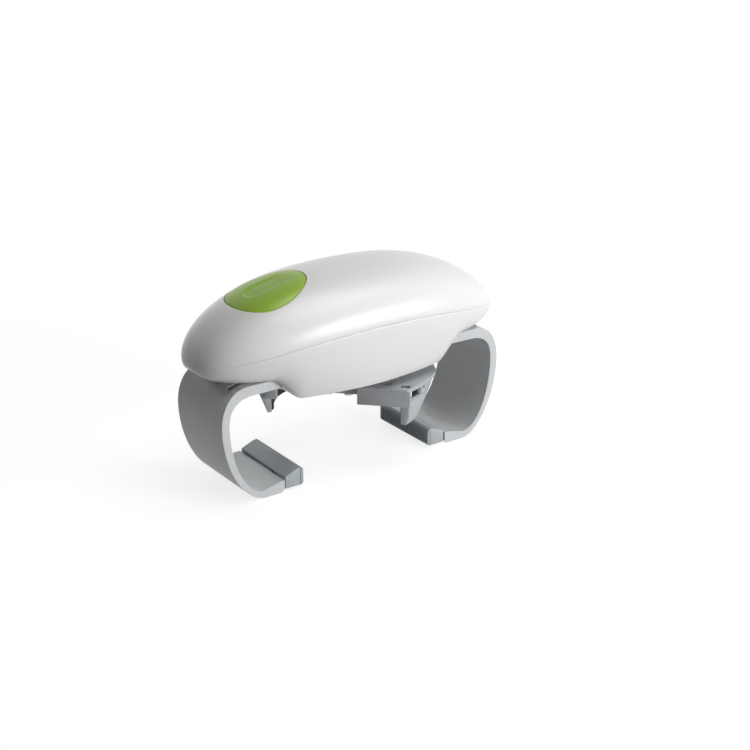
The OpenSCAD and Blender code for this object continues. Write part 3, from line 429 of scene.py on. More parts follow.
def side_point(x, s, inset=0.0):
    """Half section of the lower shell: the seam at s = 0, its flat underside at s = 1.

    b is the half width at the seam, c that of the flat, and a the arc that joins them.
    """
    b = plan_half(x, inset)
    c = plan_half(x) * (0.88 - 0.33 * share(x, 0) ** 1.5) - inset
    c = min(max(c, 1.0), b * 0.96)
    z0 = seam_z(x)
    z1 = min(underside_z(x, inset), z0 - THINNEST)
    a = math.radians(60 + 30 * end_share(x, inset))
    t = a * s
    y = c + (b - c) * (math.cos(t) - math.cos(a)) / (1 - math.cos(a))
    return y, z0 - (z0 - z1) * math.sin(t) / math.sin(a)


print("top", round(dome_z(0, 0), 1), "seam at mid length", round(seam_z(0), 1))

# %% [markdown]
# ## Lofting a shell
# A shell is a stack of cross-sections, one behind the other, each a ring of points. The stations crowd
# towards the tips by a cosine, because the form turns fastest there. Two such skins, one inside the
# other, make a wall. The two rims at the seam are rounded, which leaves the fine dark line of the joint.

# %% Loft
STATIONS = 150
LIP = 0.6


def station(i, inset=0.0):
    return -(HALF_LENGTH - inset) * math.cos(math.pi * i / STATIONS)


def loft(name, section, inset):
    """A closed skin from open sections, whose two ends lie on the seam."""
    reach = HALF_LENGTH - inset
    rings = [section(station(i, inset), inset) for i in range(1, STATIONS)]
    made = stack(name, (-reach, 0, seam_z(reach)), rings, (reach, 0, seam_z(reach)))
    fix_normals(made)
    return made


def hollow(section, inset, lift):
    """A skin inside the wall. It runs past the seam by lift, so that it leaves the rim open."""
    return loft("hollow", lambda x, i: section(x, i) + [(x, side * plan_half(x, i), seam_z(x) + lift)
                                                        for side in (-1, 1)], inset)


def lip(height):
    """How far a rim is drawn in near the seam, at a given height from it."""
    return LIP * max(0.0, 1 - height / LIP) ** 2


def dome_section(x, inset):
    """Half a turn over the dome. Its points crowd near the seam, where the lip is."""
    b = plan_half(x, inset)
    height = max(ridge_z(x, inset) - seam_z(x), THINNEST)
    angles = [0, 0.3, 0.6, 1.0, 1.6, 2.6, 4] + [4 + 86 * k / 26 for k in range(1, 27)]
    half = []
    for degrees in angles:
        t = math.radians(degrees)
        up = height * math.sin(t) ** (2 / DOME_POWER)
        out = b * math.cos(t) ** (2 / DOME_POWER) if degrees < 90 else 0.0
        half.append((out - (lip(up) if inset == 0 else 0), seam_z(x) + up))
    return [(x, y, z) for y, z in half] + [(x, -y, z) for y, z in half[-2::-1]]


def hull_section(x, inset):
    """From seam to seam under the lower shell, crowded near the seam too."""
    steps = [0, 0.006, 0.012, 0.02, 0.035, 0.06] + [0.06 + 0.94 * k / 18 for k in range(1, 19)]
    half = []
    for s in steps:
        y, z = side_point(x, s, inset)
        half.append((y - (lip(seam_z(x) - z) if inset == 0 else 0), z))
    floor = [half[-1][0] * (1 - k / 8) for k in range(1, 8)]
    low = half[-1][1]
    half += [(y, low) for y in floor] + [(0, low)]
    return [(x, y, z) for y, z in half] + [(x, -y, z) for y, z in half[-2::-1]]


upper = loft("upper_shell", dome_section, 0)
lower = loft("lower_shell", hull_section, 0)
print("upper shell faces:", len(upper.data.polygons), "lower shell faces:", len(lower.data.polygons))

# %% [markdown]
# ## The upper shell
# Its skin is hollowed by an inner one, and the well of the button is cut through it. The well's rim is
# broken by a small radius, as a mould leaves it.

# %% Upper shell
BUTTON_X = -51.4
BUTTON_LONG = 23.4
BUTTON_WIDE = 22.2
BUTTON_GAP = 0.4
BUTTON_EGG = 0.15
SEAM_PAST = 5


def button_outline(grow, n=144):
    outline = []
    for i in range(n):
        c = math.cos(2 * math.pi * i / n)
        s = math.sin(2 * math.pi * i / n)
        outline.append((BUTTON_X + (BUTTON_LONG + grow) * c, (BUTTON_WIDE + grow) * s * (1 - BUTTON_EGG * c)))
    return outline


combine(upper, hollow(dome_section, WALL, -SEAM_PAST))
combine(upper, prism("well", button_outline(BUTTON_GAP), TIP + 10, TOP + 9))
round_edges(upper, 0.3, 2, 50)
smooth(upper)
dress(upper, "upper_casing", "casing_white", "body")
print("upper shell:", len(upper.data.polygons), "faces")

# %% [markdown]
# ## The lower shell
# The skirt is cut where the arms slide in, round the rotor's bush, at the four screws and for the
# battery door. What the shell carries inside, such as shelves, ribs and pillars, is taken from the CAD
# node: a copy of it is trimmed by a skin that lies within the wall, and both make one piece.

# %% Lower shell
node_box = {n: [[c / MM for c in corner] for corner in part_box(n)] for n in frame["nodes"]}
arm_half, leg_high = node_box["left_arm"][1][1:]
door_low, door_high = node_box["battery_door"]
LEG_BASE = 64.5
SLIDE_GAP = 0.3
SCREW_SPOTS = [(x, y) for x in (-40.0, 40.0) for y in (-28.8, 28.8)]
RECESS_RADIUS = 3.0
RECESS_TOP = 62.9
BUSH_RADIUS = 11.02
BUSH_TOP = 62.0
DOOR_GAP = 0.3
DOOR_TOP = 78.5
BELOW = 50.0


def cut_openings(made):
    for side in (-1, 1):
        ends = sorted((side * (SKIRT_HALF - 8), side * (SKIRT_HALF + SKIRT_SWEEP + 6)))
        combine(made, box(ends[0], ends[1], -arm_half - SLIDE_GAP, arm_half + SLIDE_GAP,
                          LEG_BASE - SLIDE_GAP, leg_high + SLIDE_GAP))
    for x, y in SCREW_SPOTS:
        combine(made, prism("recess", circle(RECESS_RADIUS, x, y), BELOW, RECESS_TOP))
    combine(made, prism("bush_hole", circle(BUSH_RADIUS, n=96), BELOW, BUSH_TOP))
    combine(made, box(door_low[0] - DOOR_GAP, door_high[0] + DOOR_GAP,
                      door_low[1] - DOOR_GAP, door_high[1] + DOOR_GAP, BELOW, DOOR_TOP))


combine(lower, hollow(hull_section, WALL / 2, SEAM_PAST))
cut_openings(lower)
round_edges(lower, 0.25, 2, 50)

cad_mesh = frame["nodes"]["lower_casing"].data
structure = piece("structure", [tuple(v.co / MM) for v in cad_mesh.vertices],
                  [tuple(p.vertices) for p in cad_mesh.polygons])
fix_normals(structure)
combine(structure, hollow(hull_section, WALL / 2 - 0.1, SEAM_PAST), "INTERSECT")
lower = join("lower_shell_fine", [lower, structure])
smooth(lower)
dress(lower, "lower_casing", "casing_white", "body")
print("lower shell:", len(lower.data.polygons), "faces")

# %% [markdown]
# ## The battery door
# The door closes the underside of the shallow end and continues its curve, so it is cut from the same
# skin as the lower shell.

# %% Battery door
NOTCH_RADIUS = 4.0
NOTCH_TOP = 71.6

door = loft("battery_door_fine", hull_section, 0)
combine(door, hollow(hull_section, WALL, SEAM_PAST))
combine(door, box(door_low[0], door_high[0], door_low[1], door_high[1], BELOW, DOOR_TOP), "INTERSECT")
combine(door, prism("notch", circle(NOTCH_RADIUS, door_high[0] - 7, 0), BELOW + 10, NOTCH_TOP))
round_edges(door, 0.25, 2, 50)
smooth(door)
dress(door, "battery_door", "casing_white", "body")
print("door:", len(door.data.polygons), "faces")

# %% [markdown]
# ## The button
# The button continues the dome but stands a little proud, crowned in the middle and rounded at its rim.
# A shallow track with a round end is pressed into it, open towards the middle of the body.

# %% Button
RAISE = 0.8
RIM = 0.5
RIM_FROM = 0.965
HOLLOW = 0.8
HOLLOW_HALF = 5.2
HOLLOW_EDGE = 1.3
HOLLOW_START = BUTTON_X - 8.0
HOLLOW_FADE = (BUTTON_X + 4.0, 12.0)
CAP_WALL = 7.5
CAP_THICK = 2.0
AROUND = 144


def hollow_depth(x, y):
    """Depth of the press hollow, a track with a round end that fades towards the middle of the body."""
    d = math.hypot(max(HOLLOW_START - x, 0.0), y)
    fade = ease((x - HOLLOW_FADE[0]) / HOLLOW_FADE[1])
    return HOLLOW * (1 - ease((d - HOLLOW_HALF) / HOLLOW_EDGE)) * (1 - fade)


def button_point(f, i):
    """A point of the button's top: f is its share of the way from the centre to the rim."""
    c = math.cos(2 * math.pi * i / AROUND)
    s = math.sin(2 * math.pi * i / AROUND)
    x = BUTTON_X + BUTTON_LONG * f * c
    y = BUTTON_WIDE * f * s * (1 - BUTTON_EGG * c)
    rim_drop = RIM * max(0.0, (f - RIM_FROM) / (1 - RIM_FROM)) ** 2.5
    return x, y, dome_z(x, y) + RAISE * (1 - f ** 6) - hollow_depth(x, y) - rim_drop


shares = [0.02] + [k / 26 for k in range(1, 25)] + [0.94, 0.955, RIM_FROM, 0.975, 0.985, 0.993, 1.0]
centre_z = dome_z(BUTTON_X, 0) + RAISE - hollow_depth(BUTTON_X, 0)
rings = [[button_point(f, i) for i in range(AROUND)] for f in shares]
wall_low = node_box["button"][0][2] + 8
rings.append([(x, y, max(z - CAP_WALL, wall_low)) for x, y, z in rings[-1]])
rings.append([(BUTTON_X + (x - BUTTON_X) * 0.92, y * 0.92, z) for x, y, z in rings[-1]])
rings += [[(x, y, z - CAP_THICK) for x, y, z in rings[k]] for k in range(24, -1, -4)]
cap = stack("button_cap", (BUTTON_X, 0, centre_z), rings, (BUTTON_X, 0, centre_z - CAP_THICK))
fix_normals(cap)
smooth(cap, 50)
dress(cap, "button", "button_green", "push_button")
print("button:", len(cap.data.polygons), "faces")

# %% [markdown]
# ## The jar arms
# Each arm is one bent bar of constant width: a flat leg that slides in the skirt, a wide bend, and a
# foot that ends in the hinge of the pad. Its side outline is drawn from two curves, one outside and one
# inside, and drawn out over the width. The leg is forked, and one side of the fork is a toothed rack.

# %% Arms
ARM_REACH = 97.5
ARM_WALL = 4.8
ARM_MID = 48.0
LEG_TOP = 70.3
JAR_RADIUS = 44.5
TIP_X = JAR_RADIUS + 13.5
PIN_X = TIP_X - 3
PIN_Z = 4.9
PIN_RADIUS = 1.5
BARREL_RADIUS = 2.6
BARREL_HALF = 10.0
TIP_TOP = 7.3
RAIL_INNER_END = 28.0
ARM_PITCH_RADIUS = 9.0
ADDENDUM = 0.9
DEDENDUM = 1.25
TOOTH = ADDENDUM + DEDENDUM
TOOTH_PLAY = 0.12
RACK_Y = ARM_PITCH_RADIUS + DEDENDUM
BAR_Y = RACK_Y + 5
RAIL_Y = arm_half - 5.5
LEG_END = ARM_REACH - 30
ARM_WEB = 1.2


def bezier(p, n):
    """Points of a cubic curve on four control points."""
    curve = []
    for i in range(n + 1):
        t = i / n
        u = 1 - t
        weights = (u ** 3, 3 * u * u * t, 3 * u * t * t, t ** 3)
        curve.append(tuple(sum(w * q[k] for w, q in zip(weights, p)) for k in (0, 1)))
    return curve


def arm_profile(n=36):
    """Side outline of an arm as (distance, height): its outer curve, its tip and its inner curve."""
    r, w = ARM_REACH, ARM_WALL
    outer = bezier([(r - 17.5, LEG_TOP), (r - 6, LEG_TOP), (r, 60), (r, ARM_MID)], n)
    outer += bezier([(r, ARM_MID), (r, 24), (r - 13, 0), (r - 27.5, 0)], n)[1:]
    inner = bezier([(r - 25.5, w - 0.2), (r - 13, w - 0.2), (r - w, 28), (r - w, ARM_MID)], n)
    inner += bezier([(r - w, ARM_MID), (r - w, 58), (r - 9, LEG_BASE), (r - 21.5, LEG_BASE)], n)[1:]
    tip = [(TIP_X + 2, 0), (TIP_X, 2), (TIP_X, TIP_TOP), (TIP_X + 3, TIP_TOP)]
    return [(r - 30, LEG_TOP)] + outer + tip + inner + [(r - 30, LEG_BASE)]


def rack_outline(x0, x1, depth, phase):
    """Rack teeth of module 1 pointing to +Y from y = 0, with 20 degree flanks."""
    pitch = math.pi
    slope = math.tan(math.radians(20))
    half_tooth = pitch / 4 - TOOTH_PLAY
    root, tip = half_tooth + DEDENDUM * slope, half_tooth - ADDENDUM * slope
    first = math.ceil((x0 - phase * pitch) / pitch + 0.5)
    last = math.floor((x1 - phase * pitch) / pitch - 0.5)
    outline = [(x0, -depth), (x0, 0)]
    for i in range(first, last + 1):
        c = (i + phase) * pitch
        outline += [(c - root, 0), (c - tip, TOOTH), (c + tip, TOOTH), (c + root, 0)]
    return (outline + [(x1, 0), (x1, -depth)])[::-1]


def left_arm_mesh():
    outline = [(-x, z) for x, z in arm_profile()]
    arm = across("left_arm_bar", outline, -arm_half, arm_half)
    fix_normals(arm)
    for y0, y1 in ((-RAIL_Y, -BAR_Y), (-RACK_Y + 2, RAIL_Y)):
        combine(arm, box(-ARM_REACH + 9, -LEG_END + 1, y0, y1, LEG_BASE + ARM_WEB, LEG_TOP + 1))
    barrel = across("barrel", [(-PIN_X + x, PIN_Z + z) for x, z in circle(BARREL_RADIUS)],
                    -BARREL_HALF, BARREL_HALF)
    combine(arm, barrel, "UNION")
    combine(arm, box(-TIP_X - 0.5, -PIN_X, -BARREL_HALF, BARREL_HALF, PIN_Z - 2.4, PIN_Z + 2), "UNION")
    combine(arm, across("bore", [(-PIN_X + x, PIN_Z + z) for x, z in circle(PIN_RADIUS + 0.06)],
                        -BARREL_HALF - 1, BARREL_HALF + 1))
    round_edges(arm, 0.7, 3, 45)
    rails = [box(-LEG_END - 0.01, -RAIL_INNER_END, s * RAIL_Y if s > 0 else -arm_half,
                 arm_half if s > 0 else -RAIL_Y, LEG_BASE, LEG_TOP) for s in (-1, 1)]
    rack = prism("rack", rack_outline(-LEG_END - 0.01, 16, BAR_Y - RACK_Y, 0), LEG_BASE + 0.2, LEG_TOP - 0.2)
    rack.data.transform(Matrix.Translation((0, -RACK_Y * MM, 0)))
    for part in rails + [rack]:
        fix_normals(part)
        round_edges(part, 0.12, 1, 50)
    return join("left_arm_fine", [arm] + rails + [rack])


left_arm = smooth(left_arm_mesh(), 30)
right_arm = smooth(turned(left_arm, "right_arm_fine", 180), 30)
for arm, side in ((left_arm, "left"), (right_arm, "right")):
    dress(arm, side + "_arm", "arm_plastic", "arm_" + side)
print("arms:", len(left_arm.data.polygons), "faces each")

# %% [markdown]
# ## The lid jaws
# A jaw is one moulding: a wide slotted plate whose rim stands out over a slanted wall, windows under the
# rim, a short leg that reaches down beside the lid, and a wing over the other jaw's rack. It could be
# modelled by hand. Here it is cut from a few outlines, as its CAD form is, and then its edges are rounded.

# %% Jaw
LID_RADIUS = 41.5
ROTOR_ANGLE = -45.0
JAW_HALF = 23.0
JAW_BASE = 42.0
JAW_TOP = 52.8
JAW_WALL = 2.0
JAW_RIM = 1.2
LEG_FOOT = 30.0
HEAD_INNER = 35.5
HEAD_ARC = 77.0
HEAD_SKEW = 20.0
HEAD_CENTRE = LID_RADIUS + 13.5 - HEAD_ARC
HEAD_CORNER = 3.0
CONE_SLOPE = 0.37
TAIL_BASE = 46.2
TAIL_TOP = 50.2
TAIL_OUTER = 18.0
JAW_RACK_Y = 11.25
GUIDE_Y = 14.6
GUIDE_SLOT = 1.7
GROOVE_Z = 44.4


def head_outline(inset, n=36):
    """The plate of a jaw from above: straight sides, and a long arc across the outer end."""
    r, w = HEAD_ARC - inset, JAW_HALF - inset
    a0, a1 = math.asin((-w + HEAD_CORNER - HEAD_SKEW) / r), math.asin((w - HEAD_SKEW) / r)
    px, py = HEAD_CENTRE + r * math.cos(a0) - HEAD_CORNER, -w + HEAD_CORNER
    corner = [math.radians(-90 + 6 * i) for i in range(11)]
    arc = [a0 + (a1 - a0) * i / n for i in range(n + 1)]
    return ([(HEAD_INNER, -w)]
            + [(px + HEAD_CORNER * math.cos(t), py + HEAD_CORNER * math.sin(t)) for t in corner]
            + [(HEAD_CENTRE + r * math.cos(t), HEAD_SKEW + r * math.sin(t)) for t in arc] + [(HEAD_INNER, w)])


def sector(a0, a1, radius=80, n=12):
    """A slice about the rotor's axis between two angles in degrees."""
    steps = [math.radians(a0 + (a1 - a0) * i / n) for i in range(n + 1)]
    return [(0, 0)] + [(radius * math.cos(t), radius * math.sin(t)) for t in steps]


def cone(inset):
    """The slanted outside of a jaw, a cone about the rotor's axis."""
    radii = [LID_RADIUS + 5.4 - inset + (z - LEG_FOOT) * CONE_SLOPE for z in (LEG_FOOT - 1, JAW_TOP + 1)]
    return prism("cone", circle(radii[0], n=192), LEG_FOOT - 1, JAW_TOP + 1, circle(radii[1], n=192))


def jaw_shell():
    """The moulding without its rack: head, wall, leg and wing, then the hollow, windows and groove."""
    head = combine(prism("jaw", head_outline(0), JAW_TOP - JAW_WALL, JAW_TOP), cone(0), "INTERSECT")
    wall = combine(prism("wall", head_outline(JAW_RIM), JAW_BASE, JAW_TOP - 1), cone(JAW_RIM), "INTERSECT")
    leg = combine(prism("leg", head_outline(JAW_RIM), LEG_FOOT, JAW_BASE + 1), cone(JAW_RIM), "INTERSECT")
    combine(leg, prism("sector", sector(-32, 20), LEG_FOOT - 1, JAW_BASE + 2), "INTERSECT")
    combine(leg, box(0, 80, -20.6, 60, LEG_FOOT - 1, JAW_BASE + 2), "INTERSECT")
    combine(leg, prism("lid", circle(LID_RADIUS + 1.6, n=192), LEG_FOOT - 1, JAW_BASE + 2))
    wing = box(12.5, HEAD_INNER + 1, -JAW_HALF, -5.2, JAW_BASE, JAW_TOP)
    combine(wing, box(11, HEAD_INNER + 3, -JAW_HALF + JAW_WALL, 0, JAW_BASE - 1, JAW_TOP - JAW_WALL))
    combine(wing, box(11, 31.4, -GUIDE_Y - 1.9, -GUIDE_Y + 1.9, TAIL_TOP, JAW_TOP + 1))
    combine(head, wall, "UNION")
    combine(head, box(HEAD_INNER, HEAD_INNER + 8, -JAW_HALF, JAW_HALF, JAW_BASE, JAW_TOP - 1), "UNION")
    combine(head, leg, "UNION")
    combine(head, wing, "UNION")
    inner = [p for p in head_outline(JAW_RIM + JAW_WALL) if p[0] > HEAD_INNER + 0.5]
    hollow = prism("hollow", [(HEAD_INNER - 1, JAW_WALL - JAW_HALF)] + inner
                   + [(HEAD_INNER - 1, JAW_HALF - JAW_WALL - JAW_RIM)], JAW_BASE - 0.01, JAW_TOP - JAW_WALL)
    combine(head, combine(hollow, cone(JAW_RIM + JAW_WALL), "INTERSECT"))
    combine(head, box(37.5, 70, -18.7, -8.6, 45.7, 50.7))
    combine(head, box(37.5, 70, -7, -5, 48.2, 50.7))
    combine(head, box(37, 43, -19.5, -15.5, JAW_TOP - 3, JAW_TOP + 1))
    core = combine(prism("core", head_outline(JAW_RIM + 0.5), GROOVE_Z - 1, GROOVE_Z + 2),
                   cone(JAW_RIM + 0.5), "INTERSECT")
    groove = combine(prism("groove", head_outline(-1), GROOVE_Z, GROOVE_Z + 0.6), core)
    combine(groove, box(HEAD_INNER + 6, 70, -21.3, 30, GROOVE_Z - 1, GROOVE_Z + 2), "INTERSECT")
    combine(head, groove)
    return round_edges(tidy(head), 0.35, 2, 40)


def jaw_rack():
    """The toothed bar with its guide slot, and the root that joins it to the head."""
    bar = prism("rack", rack_outline(-20, HEAD_INNER + 2, TAIL_OUTER - JAW_RACK_Y, 0.5), TAIL_BASE, TAIL_TOP)
    bar.data.transform(Matrix.Translation((0, JAW_RACK_Y * MM, 0)) @ Matrix.Scale(-1, 4, (0, 1, 0)))
    fix_normals(bar)
    ends = [(29.4, t) for t in range(-90, 91, 15)] + [(-11.4, t) for t in range(90, 271, 15)]
    slot = [(x + GUIDE_SLOT * math.cos(math.radians(t)), GUIDE_Y + GUIDE_SLOT * math.sin(math.radians(t)))
            for x, t in ends]
    combine(bar, prism("slot", slot, TAIL_BASE - 1, TAIL_TOP + 1))
    round_edges(bar, 0.12, 1, 50)
    root = round_edges(box(HEAD_INNER + 1, 48, JAW_RACK_Y, TAIL_OUTER, TAIL_BASE, JAW_TOP - 0.5), 0.2, 2)
    return [bar, root]


jaw = join("jaw_fine", [jaw_shell()] + jaw_rack())
place(jaw, turn=ROTOR_ANGLE)
right_jaw = smooth(turned(jaw, "right_jaw_fine", 0), 30)
left_jaw = smooth(turned(jaw, "left_jaw_fine", 180), 30)
bpy.data.objects.remove(jaw)
for made, side in ((left_jaw, "left"), (right_jaw, "right")):
    dress(made, side + "_jaw", "jaw_plastic", "jaw_" + side)
print("jaws:", len(left_jaw.data.polygons), "faces each")

# %% [markdown]
# ## What repeats
# Ribs on rubber and screws come in rows or in sets, and a spring is one section led along a helix. Three
# small geometry node trees make them. One copies a piece along a row or round the axis, one puts a copy
# on each of a few points, and one winds a wire. All leave plain meshes, as real as the rest.

# %% Trees for copies
def new_tree(name, inputs):
    """A geometry node tree with named inputs and one result."""
    tree = bpy.data.node_groups.new(name, "GeometryNodeTree")
    for label, kind in inputs:
        tree.interface.new_socket(label, in_out="INPUT", socket_type="NodeSocket" + kind)
    tree.interface.new_socket("Result", in_out="OUTPUT", socket_type="NodeSocketGeometry")
    return tree, add(tree, "NodeGroupInput")


def close_tree(tree, given, geometry):
    """Sets the material and ends the tree."""
    painted = add(tree, "GeometryNodeSetMaterial",
                  {"Geometry": geometry, "Material": given.outputs["Material"]})
    add(tree, "NodeGroupOutput", {"Result": painted.outputs["Geometry"]})
    return tree


def row_tree():
    """Copies of a piece, each one Step and one Turn about the vertical axis further, joined to the base."""
    tree, given = new_tree("copies_in_a_row", [("Base", "Geometry"), ("Piece", "Object"), ("Count", "Int"),
                                               ("Start", "Vector"), ("Step", "Vector"), ("Turn", "Float"),
                                               ("Material", "Material")])
    line = add(tree, "GeometryNodeMeshLine", {"Count": given.outputs["Count"],
                                              "Start Location": given.outputs["Start"],
                                              "Offset": given.outputs["Step"]}, mode="OFFSET")
    shape = add(tree, "GeometryNodeObjectInfo", {"Object": given.outputs["Piece"]})
    copies = add(tree, "GeometryNodeInstanceOnPoints", {"Points": line.outputs["Mesh"],
                                                        "Instance": shape.outputs["Geometry"]})
    index = add(tree, "GeometryNodeInputIndex")
    angle = add(tree, "ShaderNodeMath", {0: index.outputs[0], 1: given.outputs["Turn"]}, operation="MULTIPLY")
    euler = add(tree, "ShaderNodeCombineXYZ", {"Z": angle.outputs[0]})
    turn = add(tree, "FunctionNodeEulerToRotation", {"Euler": euler.outputs["Vector"]})
    spread = add(tree, "GeometryNodeRotateInstances", {"Instances": copies.outputs["Instances"],
                                                       "Rotation": turn.outputs["Rotation"]})
    spread.inputs["Local Space"].default_value = False
    real = add(tree, "GeometryNodeRealizeInstances", {"Geometry": spread.outputs["Instances"]})
    joined = add(tree, "GeometryNodeJoinGeometry", {"Geometry": real.outputs["Geometry"]})
    tree.links.new(given.outputs["Base"], joined.inputs["Geometry"])
    return close_tree(tree, given, joined.outputs["Geometry"])


def spot_tree():
    """One copy of a piece on each point of the base, which isn't kept."""
    tree, given = new_tree("copies_on_points", [("Base", "Geometry"), ("Piece", "Object"),
                                                ("Material", "Material")])
    shape = add(tree, "GeometryNodeObjectInfo", {"Object": given.outputs["Piece"]})
    copies = add(tree, "GeometryNodeInstanceOnPoints", {"Points": given.outputs["Base"],
                                                        "Instance": shape.outputs["Geometry"]})
    real = add(tree, "GeometryNodeRealizeInstances", {"Geometry": copies.outputs["Instances"]})
    return close_tree(tree, given, real.outputs["Geometry"])


def coil_tree():
    """A round wire wound on a cylinder about the vertical axis."""
    tree, given = new_tree("wound_wire", [("Turns", "Float"), ("Radius", "Float"), ("Rise", "Float"),
                                          ("Wire", "Float"), ("Material", "Material")])
    path = add(tree, "GeometryNodeCurveSpiral", {"Rotations": given.outputs["Turns"],
                                                 "Start Radius": given.outputs["Radius"],
                                                 "End Radius": given.outputs["Radius"],
                                                 "Height": given.outputs["Rise"]}, Resolution=28)
    section = add(tree, "GeometryNodeCurvePrimitiveCircle", {"Radius": given.outputs["Wire"]}, Resolution=10)
    wire = add(tree, "GeometryNodeCurveToMesh", {"Curve": path.outputs["Curve"],
                                                 "Profile Curve": section.outputs["Curve"]})
    wire.inputs["Fill Caps"].default_value = True
    real = add(tree, "GeometryNodeRealizeInstances", {"Geometry": wire.outputs["Mesh"]})
    return close_tree(tree, given, real.outputs["Geometry"])


ROW = row_tree()
SPOTS = spot_tree()
COIL = coil_tree()


def grow(base, tree, **values):
    """Runs a tree on a base mesh with the given inputs, and leaves a plain mesh."""
    modifier = base.modifiers.new("copies", "NODES")
    modifier.node_group = tree
    for socket in tree.interface.items_tree:
        if socket.name in values:
            modifier[socket.identifier] = values[socket.name]
    bake(base)
    if "Piece" in values:
        bpy.data.objects.remove(values["Piece"])
    return base


def rib(radius, z0, z1):
    """A bar with round ends."""
    angles = [math.radians(a) for a in (0, 30, 60, 90)]
    profile = [(radius * math.sin(a), z0 + radius * (1 - math.cos(a))) for a in angles]
    profile += [(radius * math.sin(a), z1 - radius * (1 - math.cos(a))) for a in angles[::-1]]
    return lathe("rib", profile, 12)


print("trees:", [t.name for t in (ROW, SPOTS, COIL)])

# %% [markdown]
# ## Button spring
# A coil of spring wire stands between the switch board and the button's underside. It is the one metal
# part that changes shape in use: its foot stays with the body and its top goes down with the button.
# Here it is wound along a helix at its full height.

# %% Button spring
SPRING_RADIUS = 2.5
SPRING_WIRE = 0.35
SPRING_TURNS = 6.0

low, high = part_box("button_spring")
spring_x = (low[0] + high[0]) / 2
rise = high[2] - low[2] - 2 * SPRING_WIRE * MM
spring = grow(piece("button_spring_fine", [(0, 0, 0)], []), COIL, Turns=SPRING_TURNS,
              Radius=SPRING_RADIUS * MM, Rise=rise, Wire=SPRING_WIRE * MM, Material=ground_steel)
spring.data.transform(Matrix.Translation((spring_x, 0, low[2] + SPRING_WIRE * MM)))
fix_normals(spring)
smooth(spring)
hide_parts("button_spring")
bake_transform(spring)
print("spring:", len(spring.data.polygons), "faces, rise", round(rise / MM, 2), "mm")

# %% [markdown]
# ## The jaw grips
# The inside of each jaw's leg is lined with dark nitrile rubber. Upright ribs bite into the rim of a lid.

# %% Jaw grips
RIB_RADIUS = 0.5
GRIP_FROM = -27.0
GRIP_TO = 19.0
GRIP_RIBS = 24
GRIP_END = 1.2

for side, extra in (("right", 0), ("left", 180)):
    grip = prism("grip", sector(GRIP_FROM, GRIP_TO, 60, 24), LEG_FOOT + 1, JAW_BASE - 1)
    combine(grip, prism("outside", circle(LID_RADIUS + 1.58, n=192), LEG_FOOT, JAW_BASE), "INTERSECT")
    combine(grip, prism("inside", circle(LID_RADIUS + RIB_RADIUS, n=192), LEG_FOOT, JAW_BASE))
    round_edges(grip, 0.2, 2)
    bar = place(rib(RIB_RADIUS, LEG_FOOT + 1.4, JAW_BASE - 1.4), x=LID_RADIUS + RIB_RADIUS)
    place(bar, turn=GRIP_FROM + GRIP_END)
    grow(grip, ROW, Piece=bar, Material=grip_rubber, Count=GRIP_RIBS,
         Turn=math.radians((GRIP_TO - GRIP_FROM - 2 * GRIP_END) / (GRIP_RIBS - 1)))
    place(grip, turn=ROTOR_ANGLE + extra)
    smooth(grip, 45)
    dress(grip, side + "_jaw_grip", "grip_rubber", "jaw_" + side)
print("grip:", len(grip.data.polygons), "faces")

# %% [markdown]
# ## The jar pads
# A pad is a stiff carrier with a rubber face. The carrier's top slopes down to the arm's tip, and it hangs
# there on a pin in a blind bore. The rubber's long edges are rounder, and upright ribs stand on its face.

# %% Pads
RUBBER_DEPTH = 2.6
PAD_BASE = 1.3
PAD_TOP = 12.3
PAD_HALF = arm_half - 0.4
PAD_BACK = TIP_X - 0.8
PAD_FRONT = JAR_RADIUS + RUBBER_DEPTH
PAD_SHOULDER = 8.9
PIN_HALF = PAD_HALF - 1.2
PAD_RIBS = 31
RIB_PITCH = 1.5


def bar_outline(x0, x1, r0, r1, n=6):
    """Section of a pad bar in (distance, height), rounded by r0 at x0 and by r1 at x1."""
    outline = []
    corners = ((x0, PAD_BASE, r0, 180), (x1, PAD_BASE, r1, 270), (x1, PAD_TOP, r1, 0), (x0, PAD_TOP, r0, 90))
    for x, z, r, first in corners:
        cx = x + r if x == x0 else x - r
        cz = z + r if z == PAD_BASE else z - r
        outline += [(cx + r * math.cos(math.radians(first + 90 * i / n)),
                     cz + r * math.sin(math.radians(first + 90 * i / n))) for i in range(n + 1)]
    return outline


